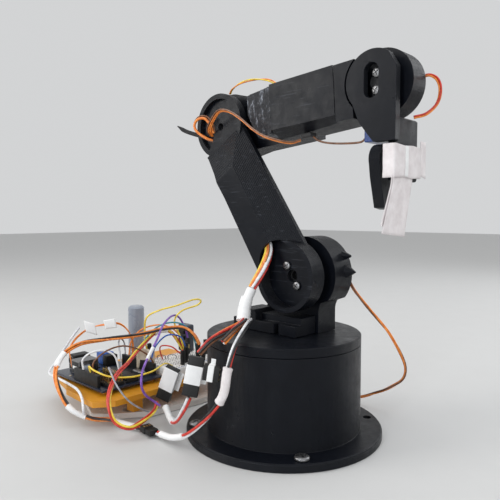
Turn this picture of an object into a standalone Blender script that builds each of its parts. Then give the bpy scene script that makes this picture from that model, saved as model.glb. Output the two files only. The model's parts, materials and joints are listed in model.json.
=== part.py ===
"""Desktop robot arm: a round base with a waist turntable, a hollow upper arm, a forearm, a rolling and
pitching wrist and a two-finger gripper, with the controller tray that its loose leads run to.

The model is in metres, +Z up. Its origin is the centre of the base's underside, the waist turns about +Z,
and the arm reaches towards +X with its hinge axes along Y. Sizes below are in millimetres and MM scales them.
"""

import math

import bmesh
import bpy
from mathutils import Matrix, Vector

MM = 0.001
GAP = 0.3

# Base and turntable, all turned about the waist axis
FLANGE_R = 65.0
FLANGE_T = 5.0
DRUM_R = 51.0
DRUM_WALL = 3.5
DRUM_H = 60.8
DISC_BOTTOM = 61.2
DISC_TOP = 66.8
HUB_R = 14.0
HUB_BOTTOM = 49.6
BOLT_CIRCLE_R = 58.5
BOLT_HOLE_R = 2.8
BOLT_ANGLES = (-39.5, -129.5, 140.5, 50.5)

# Joint centres and link lengths in the arm's own plane
SHOULDER_X = 11.0
SHOULDER_Z = 105.0
LEAN_DEG = 32.9
UPPER_LENGTH = 122.0
FOREARM_PITCH_DEG = 4.0
SEAM_X = 104.6
WRIST_X = 129.5

# Standard hobby servo and micro servo
SERVO_LONG = 40.2
SERVO_WIDE = 19.8
SERVO_DEEP = 36.0
LUG_LONG = 54.4
LUG_T = 2.5
OUTPUT_FROM_END = 10.0
MICRO_LONG = 22.6
MICRO_WIDE = 12.0

# Upper arm: layers along Y, from the open rim to the back
CUP_RIM_Y = -13.5
ELBOW_RIM_Y = -7.5
CUP_FLOOR_Y = -4.5
ARM_BACK_Y = -1.5
SHOULDER_CUP_R = 23.0
ELBOW_CUP_R = 22.5

# Shoulder bracket and forearm housing
BRACKET_Y = (7.5, 26.5)
BRACKET_HEAD_R = 25.0
HOUSING_Y = (6.0, 24.0)
HOUSING_HEAD_R = 24.0
BOX_HALF_Y = 15.0

# Hand: the near plate and the gripper
PLATE_Y = (-15.0, -10.5)
PLATE_R = 16.8
WRIST_R = 19.0
JAW_DROP = 42.0
JAW_PIVOT_Y = (-7.5, 9.5)
JAW_GEAR_R = 8.3

BLACK_PLA = ("black_pla", (0.022, 0.023, 0.027), 0.55, 0.0)
BLACK_MATT = ("black_matt", (0.018, 0.018, 0.02), 0.7, 0.0)
SERVO_BLACK = ("servo_black", (0.015, 0.015, 0.017), 0.4, 0.0)
SERVO_BLUE = ("servo_blue", (0.02, 0.05, 0.18), 0.35, 0.0)
STEEL = ("steel", (0.62, 0.62, 0.62), 0.3, 1.0)
NYLON = ("nylon_white", (0.85, 0.85, 0.84), 0.4, 0.0)
PAPER = ("paper", (0.82, 0.79, 0.78), 0.85, 0.0)
TRAY_YELLOW = ("tray_yellow", (0.86, 0.5, 0.04), 0.5, 0.0)
SHEET_CLEAR = ("sheet_clear", (0.8, 0.78, 0.75), 0.3, 0.0)
BOARD = ("board_dark", (0.03, 0.05, 0.09), 0.45, 0.0)
SOCKET = ("socket_black", (0.02, 0.02, 0.02), 0.5, 0.0)
BREADBOARD = ("breadboard_white", (0.85, 0.84, 0.82), 0.5, 0.0)
CAN_GREY = ("can_grey", (0.4, 0.4, 0.45), 0.35, 0.3)
GLUE = ("glue_white", (0.55, 0.56, 0.6), 0.6, 0.0)
ORANGE_LEAD = ("lead_orange", (0.85, 0.28, 0.06), 0.5, 0.0)
RED_LEAD = ("lead_red", (0.65, 0.05, 0.04), 0.5, 0.0)
BROWN_LEAD = ("lead_brown", (0.3, 0.14, 0.06), 0.5, 0.0)
WHITE_LEAD = ("lead_white", (0.75, 0.76, 0.8), 0.5, 0.0)
PURPLE_LEAD = ("lead_purple", (0.25, 0.1, 0.5), 0.5, 0.0)
YELLOW_LEAD = ("lead_yellow", (0.85, 0.7, 0.1), 0.5, 0.0)

PARTS = "desktop_robot_arm"
CUTTERS = "cutters"


# Scene and materials

def clear_scene():
    for obj in list(bpy.data.objects):
        bpy.data.objects.remove(obj, do_unlink=True)
    for name in (PARTS, CUTTERS):
        group = bpy.data.collections.new(name)
        bpy.context.scene.collection.children.link(group)


def material(spec):
    name, rgb, roughness, metallic = spec
    made = bpy.data.materials.get(name)
    if made is None:
        made = bpy.data.materials.new(name)
        made.use_nodes = True
        shader = made.node_tree.nodes["Principled BSDF"]
        shader.inputs["Base Color"].default_value = (*rgb, 1.0)
        shader.inputs["Roughness"].default_value = roughness
        shader.inputs["Metallic"].default_value = metallic
        made.diffuse_color = (*rgb, 1.0)
    return made


def into(obj, group):
    for holder in list(obj.users_collection):
        holder.objects.unlink(obj)
    bpy.data.collections[group].objects.link(obj)


def helper(obj):
    """Marks a cutter, or a shape that a Boolean joins on: the build leaves it out."""
    into(obj, CUTTERS)
    obj.hide_render = True
    obj.display_type = "WIRE"
    return obj


def piece(obj, name, spec):
    obj.name = name
    obj.data.name = name
    obj.data.materials.clear()
    obj.data.materials.append(material(spec))
    into(obj, PARTS)
    if obj.type == "MESH":
        obj.data.shade_smooth()
        obj.data.set_sharp_from_angle(angle=math.radians(35))
    return obj


def axis_empty(name, parent, location, turn_y_deg=0.0):
    empty = bpy.data.objects.new(name, None)
    empty.empty_display_size = 0.02
    bpy.data.collections[PARTS].objects.link(empty)
    empty.parent = parent
    empty.location = Vector(location) * MM
    empty.rotation_euler = (0, math.radians(turn_y_deg), 0)
    return empty


# Shapes: every one is placed by its parent, location and rotation

def placed(obj, parent, location=(0, 0, 0), rotation_deg=(0, 0, 0)):
    obj.parent = parent
    obj.location = Vector(location) * MM
    obj.rotation_euler = [math.radians(a) for a in rotation_deg]
    return obj


def box(low, high, parent=None, turn_deg=(0, 0, 0)):
    """A box between two corners, given in the parent's frame and turned about its own centre."""
    low, high = Vector(low), Vector(high)
    bpy.ops.mesh.primitive_cube_add(size=1)
    obj = bpy.context.object
    obj.data.transform(Matrix.Diagonal(((high - low) * MM).to_4d()))
    return placed(obj, parent, (low + high) / 2, turn_deg)


def bevelled(obj, width, segments=2):
    bevel = obj.modifiers.new("edges", "BEVEL")
    bevel.width = width * MM
    bevel.segments = segments
    bevel.limit_method = "ANGLE"
    bevel.angle_limit = math.radians(40)
    return obj


AXIS_TURN = {"X": (0, 90, 0), "Y": (90, 0, 0), "Z": (0, 0, 0)}


def rod(radius, axis, start, end, across, parent=None, sides=48, tip=None):
    """A cylinder, or a cone to the radius tip, along an axis from start to end. across is its centre on the
    other two axes, in X, Y, Z order."""
    where = list(across)
    where.insert("XYZ".index(axis), (start + end) / 2)
    size = dict(vertices=sides, depth=abs(end - start) * MM)
    if tip is None:
        bpy.ops.mesh.primitive_cylinder_add(radius=radius * MM, **size)
    else:
        bpy.ops.mesh.primitive_cone_add(radius1=radius * MM, radius2=tip * MM, **size)
    return placed(bpy.context.object, parent, where, AXIS_TURN[axis])


def turned(profile, steps=48):
    """A solid turned about Z from (radius, height) points: up inside, then down the outer side."""
    mesh = bpy.data.meshes.new("profile")
    points = [(r * MM, 0, z * MM) for r, z in profile]
    mesh.from_pydata(points, [(i, i + 1) for i in range(len(points) - 1)], [])
    obj = bpy.data.objects.new("turned", mesh)
    bpy.data.collections[PARTS].objects.link(obj)
    screw = obj.modifiers.new("turn", "SCREW")
    screw.steps = steps
    screw.render_steps = steps
    screw.use_merge_vertices = True
    screw.merge_threshold = 1e-6
    return obj


def arc(centre, radius, start_deg, end_deg, count):
    turn = (end_deg - start_deg) / (count - 1)
    angles = [math.radians(start_deg + turn * i) for i in range(count)]
    return [(centre[0] + radius * math.cos(a), centre[1] + radius * math.sin(a)) for a in angles]


def slab(outline, start, end, parent=None, plane="XZ"):
    """A flat outline given thickness: in plane XZ it runs from start to end along Y, in YZ along X and in XY
    along Z. It is a filled 2D curve, made a mesh so that it can be cut and joined."""
    curve = bpy.data.curves.new("outline", "CURVE")
    curve.dimensions = "2D"
    curve.fill_mode = "BOTH"
    curve.extrude = abs(end - start) / 2 * MM
    spline = curve.splines.new("POLY")
    spline.points.add(len(outline) - 1)
    for point, (u, v) in zip(spline.points, outline):
        point.co = (u * MM, v * MM, 0, 1)
    spline.use_cyclic_u = True
    obj = meshed(curve)
    mid = (start + end) / 2
    if plane == "XZ":
        return placed(obj, parent, (0, mid, 0), (90, 0, 0))
    if plane == "YZ":
        return placed(obj, parent, (mid, 0, 0), (90, 0, 90))
    return placed(obj, parent, (0, 0, mid))


def meshed(curve):
    guide = bpy.data.objects.new("guide", curve)
    bpy.context.scene.collection.objects.link(guide)
    bpy.context.view_layer.update()
    graph = bpy.context.evaluated_depsgraph_get()
    mesh = bpy.data.meshes.new_from_object(guide.evaluated_get(graph))
    bpy.data.objects.remove(guide)
    bm = bmesh.new()
    bm.from_mesh(mesh)
    bmesh.ops.remove_doubles(bm, verts=bm.verts, dist=1e-6)
    bmesh.ops.recalc_face_normals(bm, faces=bm.faces)
    bm.to_mesh(mesh)
    bm.free()
    obj = bpy.data.objects.new("slab", mesh)
    bpy.data.collections[PARTS].objects.link(obj)
    return obj


def boolean(obj, other, operation):
    modifier = obj.modifiers.new(operation.lower(), "BOOLEAN")
    modifier.operation = operation
    modifier.solver = "EXACT"
    modifier.object = helper(other)
    return obj


def cut(obj, *cutters):
    for cutter in cutters:
        boolean(obj, cutter, "DIFFERENCE")
    return obj


def joined(obj, *others):
    for other in others:
        boolean(obj, other, "UNION")
    return obj


def smooth_path(route, spacing):
    """Points about `spacing` apart along a Catmull-Rom curve through the route's own points."""
    route = [Vector(p) for p in route]
    ends = [route[0] * 2 - route[1]] + route + [route[-1] * 2 - route[-2]]
    fine = [route[0]]
    for a, b, c, d in zip(ends, ends[1:], ends[2:], ends[3:]):
        for step in range(1, 17):
            t = step / 16
            point = 2 * b + (c - a) * t + (2 * a - 5 * b + 4 * c - d) * t**2
            fine.append((point + (3 * b - a - 3 * c + d) * t**3) / 2)
    lengths = [0.0]
    for a, b in zip(fine, fine[1:]):
        lengths.append(lengths[-1] + (b - a).length)
    count = max(3, round(lengths[-1] / spacing))
    path = []
    for i in range(count + 1):
        want = lengths[-1] * i / count
        k = next((j for j in range(1, len(lengths)) if lengths[j] >= want - 1e-9), len(lengths) - 1)
        share = (want - lengths[k - 1]) / max(lengths[k] - lengths[k - 1], 1e-9)
        path.append(fine[k - 1].lerp(fine[k], share))
    return path


def lead(name, spec, diameter, route, spacing=2.6):
    """A loose lead: a round curve along its route, with a point every few diameters."""
    curve = bpy.data.curves.new(name, "CURVE")
    curve.dimensions = "3D"
    curve.bevel_depth = diameter / 2 * MM
    curve.bevel_resolution = 2
    curve.use_fill_caps = True
    path = smooth_path(route, diameter * spacing)
    spline = curve.splines.new("POLY")
    spline.points.add(len(path) - 1)
    for point, place in zip(spline.points, path):
        point.co = (*(place * MM), 1)
    obj = bpy.data.objects.new(name, curve)
    bpy.data.collections[PARTS].objects.link(obj)
    return piece(obj, name, spec)


def pan_screw(name, parent, head_at, out, head_r=2.9, head_h=1.8, shank=3.0):
    """A pan-head screw whose head stands on head_at and points along the axis out, such as "-Y"."""
    profile = [(0, -shank), (1.3, -shank), (1.3, 0), (head_r, 0), (head_r, head_h * 0.55)]
    profile += [(head_r * 0.72, head_h * 0.92), (0, head_h)]
    obj = turned([(r, z) for r, z in reversed(profile)], 20)
    turn = {"Z": (0, 0, 0), "-Y": (90, 0, 0), "-X": (0, -90, 0)}[out]
    return piece(placed(obj, parent, head_at, turn), name, STEEL)


# Root body: the base and what stands in it

def base_housing():
    profile = [(0, 3), (DRUM_R - DRUM_WALL, 3), (DRUM_R - DRUM_WALL, DRUM_H), (DRUM_R, DRUM_H)]
    profile += [(DRUM_R, FLANGE_T), (FLANGE_R - 0.8, FLANGE_T), (FLANGE_R, FLANGE_T - 0.8)]
    profile += [(FLANGE_R, 0), (0, 0)]
    obj = piece(turned(profile, 72), "base_housing", BLACK_PLA)
    for angle in BOLT_ANGLES:
        a = math.radians(angle)
        centre = (BOLT_CIRCLE_R * math.cos(a), BOLT_CIRCLE_R * math.sin(a))
        cut(obj, rod(BOLT_HOLE_R, "Z", -1, FLANGE_T + 1, centre, sides=20))


def flange_screws():
    for number, angle in enumerate(BOLT_ANGLES[:2], 1):
        a = math.radians(angle)
        at = (BOLT_CIRCLE_R * math.cos(a), BOLT_CIRCLE_R * math.sin(a), FLANGE_T + GAP)
        pan_screw(f"flange_screw_{number}", None, at, "Z", 4.5, 2.6, 4.6)


def waist_servo():
    top = 3 + GAP + SERVO_DEEP
    low = (OUTPUT_FROM_END - SERVO_LONG, -SERVO_WIDE / 2, 3 + GAP)
    obj = box(low, (OUTPUT_FROM_END, SERVO_WIDE / 2, top))
    lug = (LUG_LONG - SERVO_LONG) / 2
    lugs_low = (low[0] - lug, low[1], 28)
    joined(
        obj,
        box(lugs_low, (OUTPUT_FROM_END + lug, SERVO_WIDE / 2, 28 + LUG_T)),
        rod(9.4, "Z", top - 1, top + 3, (0, 0), sides=28),
        rod(3.0, "Z", top, top + 6.5, (0, 0), sides=16),
    )
    piece(obj, "waist_servo_case", SERVO_BLACK)


# Root body: the controller tray

TRAY_TOP = 20.0
TRAY_T = 4.0
SHEET_TOP = 4.3
TRAY_OUTLINE = [(-168, -78), (-134, -86), (-126, -90.5), (-88, -92), (-79, -80), (-81, 34), (-168, 34)]
SHEET_OUTLINE = [(-158, -62), (-108, -81), (-98, -73), (-82, -50), (-76, -10), (-76, 44), (-158, 44)]
BOARD_LOW = (-162, -82, 22.4)
BOARD_HIGH = (-92, -31, 24.0)
BREADBOARD_LOW = (-122, -28, 20.6)
BREADBOARD_HIGH = (-84, 32, 29.2)
CAN_R = 6.8
CAN_TOP = 66.0


def tray():
    plate = slab(TRAY_OUTLINE, TRAY_TOP - TRAY_T, TRAY_TOP, plane="XY")
    for x in (-150, -96):
        for y in (-60, 20):
            joined(plate, box((x, y, SHEET_TOP + GAP), (x + 8, y + 8, TRAY_TOP - TRAY_T + 1)))
    for x in (-160, -102):
        for y in (-78, -42):
            joined(plate, box((x, y, TRAY_TOP - 1), (x + 6, y + 6, BOARD_LOW[2] - GAP)))
    cut(plate, rod(1.8, "Z", 10, 30, (-131, -84.5), sides=16))
    piece(plate, "tray_plate", TRAY_YELLOW)
    sheet = slab(SHEET_OUTLINE, 0.3, SHEET_TOP, plane="XY")
    cut(sheet, rod(5, "Z", -1, 6, (-96, -58), sides=24))
    piece(sheet, "lower_sheet", SHEET_CLEAR)


def electronics():
    board = box(BOARD_LOW, BOARD_HIGH)
    socket_z = (BOARD_HIGH[2] - 0.5, BOARD_HIGH[2] + 8.5)
    for low, high in (((-140, -35), (-98, -32.4)), ((-132, -81), (-100, -78.4))):
        joined(board, box((*low, socket_z[0]), (*high, socket_z[1])))
    piece(board, "controller_board", BOARD)
    top = BOARD_HIGH[2] + GAP
    jack = box((-160.6, -70, top), (-151.6, -56, top + 11.2))
    cut(jack, rod(3.1, "Y", -72, -62, (-156.1, top + 6.6), sides=24))
    piece(bevelled(jack, 0.8), "barrel_jack", SOCKET)
    piece(bevelled(box((-147, -75, top), (-135, -59, top + 10.5)), 0.4), "usb_socket", STEEL)
    strip = box(BREADBOARD_LOW, BREADBOARD_HIGH)
    cut(strip, box((-104, -40, 27.2), (-102, 60, 32)))
    piece(bevelled(strip, 0.6), "breadboard", BREADBOARD)
    foot = TRAY_TOP + GAP
    groove = [(CAN_R - 0.8, foot + 9), (CAN_R - 0.8, foot + 7.6), (CAN_R, foot + 6.4)]
    top_edge = [(0, CAN_TOP), (CAN_R - 1.6, CAN_TOP), (CAN_R, CAN_TOP - 1.6), (CAN_R, foot + 10)]
    can = turned(top_edge + groove + [(CAN_R, foot), (0, foot)], 32)
    piece(placed(can, None, (-160, -7, 0)), "capacitor", CAN_GREY)
    piece(bevelled(box((-127, 12, 29.5), (-115, 20, 52)), 1.2), "sensor_module", CAN_GREY)


# Waist body

def turntable():
    profile = [(0, DISC_TOP), (DRUM_R - 0.6, DISC_TOP), (DRUM_R, DISC_TOP - 0.6), (DRUM_R, DISC_BOTTOM)]
    profile += [(HUB_R, DISC_BOTTOM), (HUB_R, HUB_BOTTOM), (0, HUB_BOTTOM)]
    obj = turned(profile, 72)
    for x in (-15.4, -0.4):
        cut(obj, rod(1.6, "Z", 65.2, 68, (x, 3.75), sides=16))
    piece(obj, "turntable", BLACK_PLA)


def waist_bracket():
    """The upright that holds the shoulder servo on its side: a round head on a leg that spreads to a foot."""
    foot_z = DISC_TOP + GAP
    x, z = SHOULDER_X, SHOULDER_Z
    outline = arc((x, z), BRACKET_HEAD_R, -38, 118, 22)
    outline += [(-14, 121), (-24, 118.5), (-24, 92), (-20, 84), (-24, 76), (-29, foot_z), (23, foot_z)]
    outline += arc((23 + 12, 81), 12, 180, 148, 5)
    obj = slab(outline, *BRACKET_Y)
    side = SERVO_WIDE / 2 + 0.4
    far_end = x + OUTPUT_FROM_END - SERVO_LONG - 0.4
    near_end = x + OUTPUT_FROM_END + 0.4
    pocket = box((far_end, BRACKET_Y[0] + 2, z - side), (near_end, BRACKET_Y[1] + 2, z + side))
    mouth = rod(15.2, "Y", BRACKET_Y[0] - 2, BRACKET_Y[0] + 4, (x, z), sides=40)
    nib_at = x + BRACKET_HEAD_R - 1.2
    joined(
        obj,
        rod(5.2, "X", nib_at, nib_at + 7.6, (21.0, 107.5), sides=6, tip=0.2),
        rod(3.4, "X", nib_at - 3.0, nib_at + 3.0, (22, 117.5), sides=6, tip=0.8),
    )
    cut(obj, pocket, mouth)
    piece(obj, "waist_bracket", BLACK_PLA)


def bracket_block():
    """The block under the shoulder cup, with the stepped box at its left end."""
    foot_z = DISC_TOP + GAP
    outline = [(-34, foot_z), (21, foot_z), (21, 78.5), (-12, 78.5)]
    outline += [(-15, 81), (-26, 81), (-27, 75), (-34, 74)]
    obj = slab(outline, -13.5, BRACKET_Y[0] - GAP)
    notch = box((3, -15, 66), (7, -9, 80))
    undercut = box((-18, -4, 66), (1.5, 8, 70.4))
    step = box((-13, -15, 74), (22, -8, 80))
    cut(obj, notch, undercut, step)
    piece(obj, "bracket_block", BLACK_MATT)


def shoulder_servo():
    x, z = SHOULDER_X, SHOULDER_Z
    front = BRACKET_Y[0] + 2 + GAP
    side = SERVO_WIDE / 2
    near_end = x + OUTPUT_FROM_END
    far_end = near_end - SERVO_LONG
    lug = (LUG_LONG - SERVO_LONG) / 2
    lug_y = BRACKET_Y[1] + GAP
    obj = box((far_end, front, z - side), (near_end, front + SERVO_DEEP, z + side))
    joined(
        obj,
        box((far_end - lug, lug_y, z - side), (near_end + lug, lug_y + LUG_T, z + side)),
        rod(14.4, "Y", 2.4, front + 0.5, (x, z), sides=40),
    )
    piece(obj, "shoulder_servo_case", SERVO_BLACK)


# Upper arm body, in the shoulder's frame: Z runs to the elbow

def upper_arm(shoulder):
    """A cup at each end of a hollow-backed web whose near face slopes away on one side and at the elbow."""
    top = UPPER_LENGTH
    obj = rod(SHOULDER_CUP_R, "Y", CUP_RIM_Y, ARM_BACK_Y, (0, 0), shoulder, 56)
    outline = [(-17.3, 12), (19.5, 12), (18.3, 60), (16.8, 112), (-21.6, 110), (-18.9, 93), (-17.6, 72)]
    web = slab(outline, CUP_RIM_Y, ARM_BACK_Y, shoulder)
    side_slope = [(0.5, CUP_RIM_Y), (23, -2.6), (40, -2.6), (40, -30), (0.5, -30)]
    elbow_slope = [(CUP_RIM_Y - 8, top - 67.6), (ELBOW_RIM_Y, top - 14)]
    elbow_slope += [(ELBOW_RIM_Y, top + 9), (-30, top + 9)]
    cut(web, slab(side_slope, 0, top, shoulder, "XY"), slab(elbow_slope, -40, 40, shoulder, "YZ"))
    joined(obj, web, rod(ELBOW_CUP_R, "Y", ELBOW_RIM_Y, ARM_BACK_Y, (0, top), shoulder, 56))
    recess = rod(19.0, "Y", ELBOW_RIM_Y - 1, CUP_FLOOR_Y, (0, top), shoulder, 48)
    below = slab([(-30, top - 16.5), (30, top + 18), (30, top - 60), (-30, top - 60)], -20, 0, shoulder)
    cut(recess, below)
    cup_depth = (CUP_RIM_Y - 1, CUP_FLOOR_Y)
    cut(
        obj,
        recess,
        rod(19.8, "Y", *cup_depth, (0, 0), shoulder, 48),
        rod(15.0, "Y", *cup_depth, (-0.5, 10), shoulder, 40),
        box((-13, -11.4, 5), (3, CUP_FLOOR_Y, 84), shoulder),
        rod(4.0, "Y", -6, 0, (0, 0), shoulder, 24),
        rod(2.6, "Y", -10, 0, (1.6, top - 2.2), shoulder, 24),
    )
    piece(obj, "upper_arm_link", BLACK_PLA)


def horns(shoulder):
    for name, z in (("shoulder_horn", 0), ("elbow_horn", UPPER_LENGTH)):
        obj = rod(17.0, "Y", ARM_BACK_Y + GAP, 2.1, (0, z), shoulder, 40)
        cut(obj, rod(3.0, "Y", -3, 4, (0, z), shoulder, 16))
        piece(obj, name, BLACK_MATT)
    for number, offset in enumerate((7.5, -7.5), 1):
        pan_screw(f"shoulder_screw_{number}", shoulder, (0, CUP_FLOOR_Y - GAP, offset), "-Y", 2.8, 1.7, 0.02)


# Forearm body, in the elbow's frame: X runs to the wrist

def forearm(elbow):
    """A box that tapers to the wrist, on a flat housing with a round end that holds the elbow servo."""
    profile = [(56, 14.8), (SEAM_X - GAP, 14.6), (SEAM_X - GAP, -17.2), (56, -19)]
    obj = slab(profile, -BOX_HALF_Y, BOX_HALF_Y, elbow)
    near, far = [(-16, -13.5), (-16, -25), (-4.5, -25), (-4.5, -19.2)], [(16, -14), (11, -19.5), (16, -25)]
    cut(obj, slab(near, 50, 110, elbow, "YZ"), slab(far, 50, 110, elbow, "YZ"))
    outline = arc((0, 0), HOUSING_HEAD_R, 66, 300, 30)
    outline += [(24, -19), (70, -18), (70, 14), (26, 16.5)]
    joined(obj, slab(outline, *HOUSING_Y, elbow))
    side = SERVO_WIDE / 2 + 0.4
    pocket_far = SERVO_LONG - OUTPUT_FROM_END + 0.4
    pocket_low = (-OUTPUT_FROM_END - 0.4, HOUSING_Y[0] + 2, -side)
    pocket = box(pocket_low, (pocket_far, HOUSING_Y[1] + 2, side), elbow)
    mouth = rod(15.2, "Y", HOUSING_Y[0] - 2, HOUSING_Y[0] + 4, (0, 0), elbow, 40)
    half = MICRO_WIDE / 2 + 0.3
    roll_pocket = box((80, -half, -16.2), (SEAM_X + 1, half, 6.3), elbow)
    cut(obj, pocket, mouth, roll_pocket)
    piece(obj, "forearm_body", BLACK_PLA)


def forearm_patch(elbow):
    """The rough filled corner between the elbow housing and the box."""
    outline = [(31, 14.2), (55.7, 14.4), (55.7, -16), (41.5, -16.5), (36, -8), (31, 1)]
    obj = slab(outline, -14.6, HOUSING_Y[0] - GAP, elbow)
    cut(obj, slab([(25, -8.6), (57, -14.8), (57, -20), (25, -20)], -20, 20, elbow, "XY"))
    piece(obj, "forearm_patch", GLUE)


def elbow_servo(elbow):
    front = HOUSING_Y[0] + 2 + GAP
    side = SERVO_WIDE / 2
    far = SERVO_LONG - OUTPUT_FROM_END
    lug = (LUG_LONG - SERVO_LONG) / 2
    lug_y = HOUSING_Y[1] + GAP
    obj = box((-OUTPUT_FROM_END, front, -side), (far, front + SERVO_DEEP, side), elbow)
    joined(
        obj,
        box((-OUTPUT_FROM_END - lug, lug_y, -side), (far + lug, lug_y + LUG_T, side), elbow),
        rod(14.4, "Y", 2.4, front + 0.5, (0, 0), elbow, 40),
    )
    piece(obj, "elbow_servo_case", SERVO_BLACK)


def forearm_small(elbow):
    piece(bevelled(box((75, -9, -21.6), (82, -2, -18.7), elbow), 0.8), "lead_tie", NYLON)
    half = MICRO_WIDE / 2
    servo = box((80.4, -half, -15.9), (SEAM_X - 2.4, half, 6.0), elbow)
    joined(servo, rod(5.4, "X", 100, SEAM_X - 0.6, (0, 0), elbow, 24))
    piece(servo, "roll_servo", SERVO_BLUE)


# Wrist body, in the same frame as the forearm

def wrist(elbow):
    start = SEAM_X + GAP
    obj = rod(WRIST_R, "Y", -5, 9, (WRIST_X, 0), elbow, 48)
    neck = box((start, -15, -18), (start + 14.2, 9, 14.2), elbow)
    joined(obj, neck)
    swing = rod(PLATE_R + 1.0, "Y", -17, -5.0, (WRIST_X, 0), elbow, 48)
    below = box((WRIST_X - 13, -17, -30), (WRIST_X + 30, -5.0, 0), elbow)
    micro = MICRO_WIDE / 2 + 0.3
    pocket = box((WRIST_X - 5.8, -2.9, -micro), (WRIST_X + MICRO_LONG - 5.2, 11, micro), elbow)
    mouth = rod(5.0, "Y", -6, -2, (WRIST_X, 0), elbow, 24)
    cut(obj, swing, below, pocket, mouth)
    piece(obj, "wrist_housing", BLACK_PLA)
    half = MICRO_WIDE / 2
    servo = box((WRIST_X - 5.5, -2.6, -half), (WRIST_X + MICRO_LONG - 5.8, 11.5, half), elbow)
    joined(servo, rod(4.6, "Y", -5.6, -2, (WRIST_X, 0), elbow, 24))
    piece(servo, "pitch_servo", SERVO_BLUE)


# Hand body, in the wrist pitch frame: Z runs up while the hand hangs straight down

def hand_plate(pitch):
    outline = [(14.2, -20.6), (14.2, 6), (9.5, 13.6)] + arc((0, 0), PLATE_R, 66, 222, 20)
    outline += [(-9, -20), (-7.5, -22.5), (1, -33), (14.2, -33)]
    obj = slab(outline, *PLATE_Y, pitch)
    slot = arc((-0.8, 5.2), 4.5, 0, 180, 12) + arc((-0.8, -4.8), 4.5, 180, 360, 12)
    cut(obj, slab(slot, PLATE_Y[0] - 1, PLATE_Y[1] + 1, pitch))
    piece(obj, "hand_plate", BLACK_PLA)


def pitch_horn(pitch):
    outline = arc((0, 0), 4.2, -60, 60, 6) + arc((0, 7.5), 2.9, 20, 160, 7)
    outline += arc((0, 0), 4.2, 120, 240, 6) + arc((0, -7.5), 2.9, 200, 340, 7)
    horn = slab(outline, PLATE_Y[1] + GAP, -8.4, pitch)
    joined(horn, rod(3.2, "Y", -9, -5.9, (0, 0), pitch, 20))
    piece(horn, "pitch_horn", NYLON)
    for number, z in enumerate((4.8, -4.8), 1):
        pan_screw(f"pitch_screw_{number}", pitch, (0.2, PLATE_Y[1], z), "-Y", 2.7, 1.6, 0.02)


def gripper(pitch):
    plate = box((7, -10.2, -54), (12, 15, -19.6), pitch)
    piece(bevelled(plate, 0.8, 1), "gripper_plate", BLACK_PLA)
    servo = box((-8, -9.5, -32), (5.6, 13, -20.4), pitch)
    piece(bevelled(servo, 0.4, 1), "gripper_servo", SERVO_BLUE)
    wrap = box((6.1, -14.5, -53), (14.1, 16, -34), pitch)
    cut(wrap, box((6.6, -14, -60), (13.6, 15.5, -20), pitch))
    joined(wrap, box((13.3, 15.6, -51), (13.9, 22.5, -30.5), pitch))
    piece(wrap, "paper_wrap", PAPER)
    outline = [(-13.4, -40), (8, -40), (7, -53), (-0.5, -84.5), (-25, -82), (-16, -56), (-13.4, -53.4)]
    piece(slab(outline, 12.4, 13.2, pitch, "YZ"), "paper_strip", PAPER)


def jaws(pitch):
    for name, pivot, side in (("left_jaw", JAW_PIVOT_Y[0], -1), ("right_jaw", JAW_PIVOT_Y[1], 1)):
        axis = axis_empty(name + "_axis", pitch, (0, pivot, -JAW_DROP))
        finger = [(-6.3, -6.5), (-6.3, -21), (-4.4, -27.5), (1.8, -26.5), (6.6, -10)]
        outline = [(side * u, v) for u, v in arc((0, 0), JAW_GEAR_R, -20, 220, 24) + finger]
        piece(slab(outline, -1.2, 5.3, axis, plane="YZ"), name, BLACK_PLA)


# Loose leads and what is on them, each as (material, diameter, route)

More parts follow.
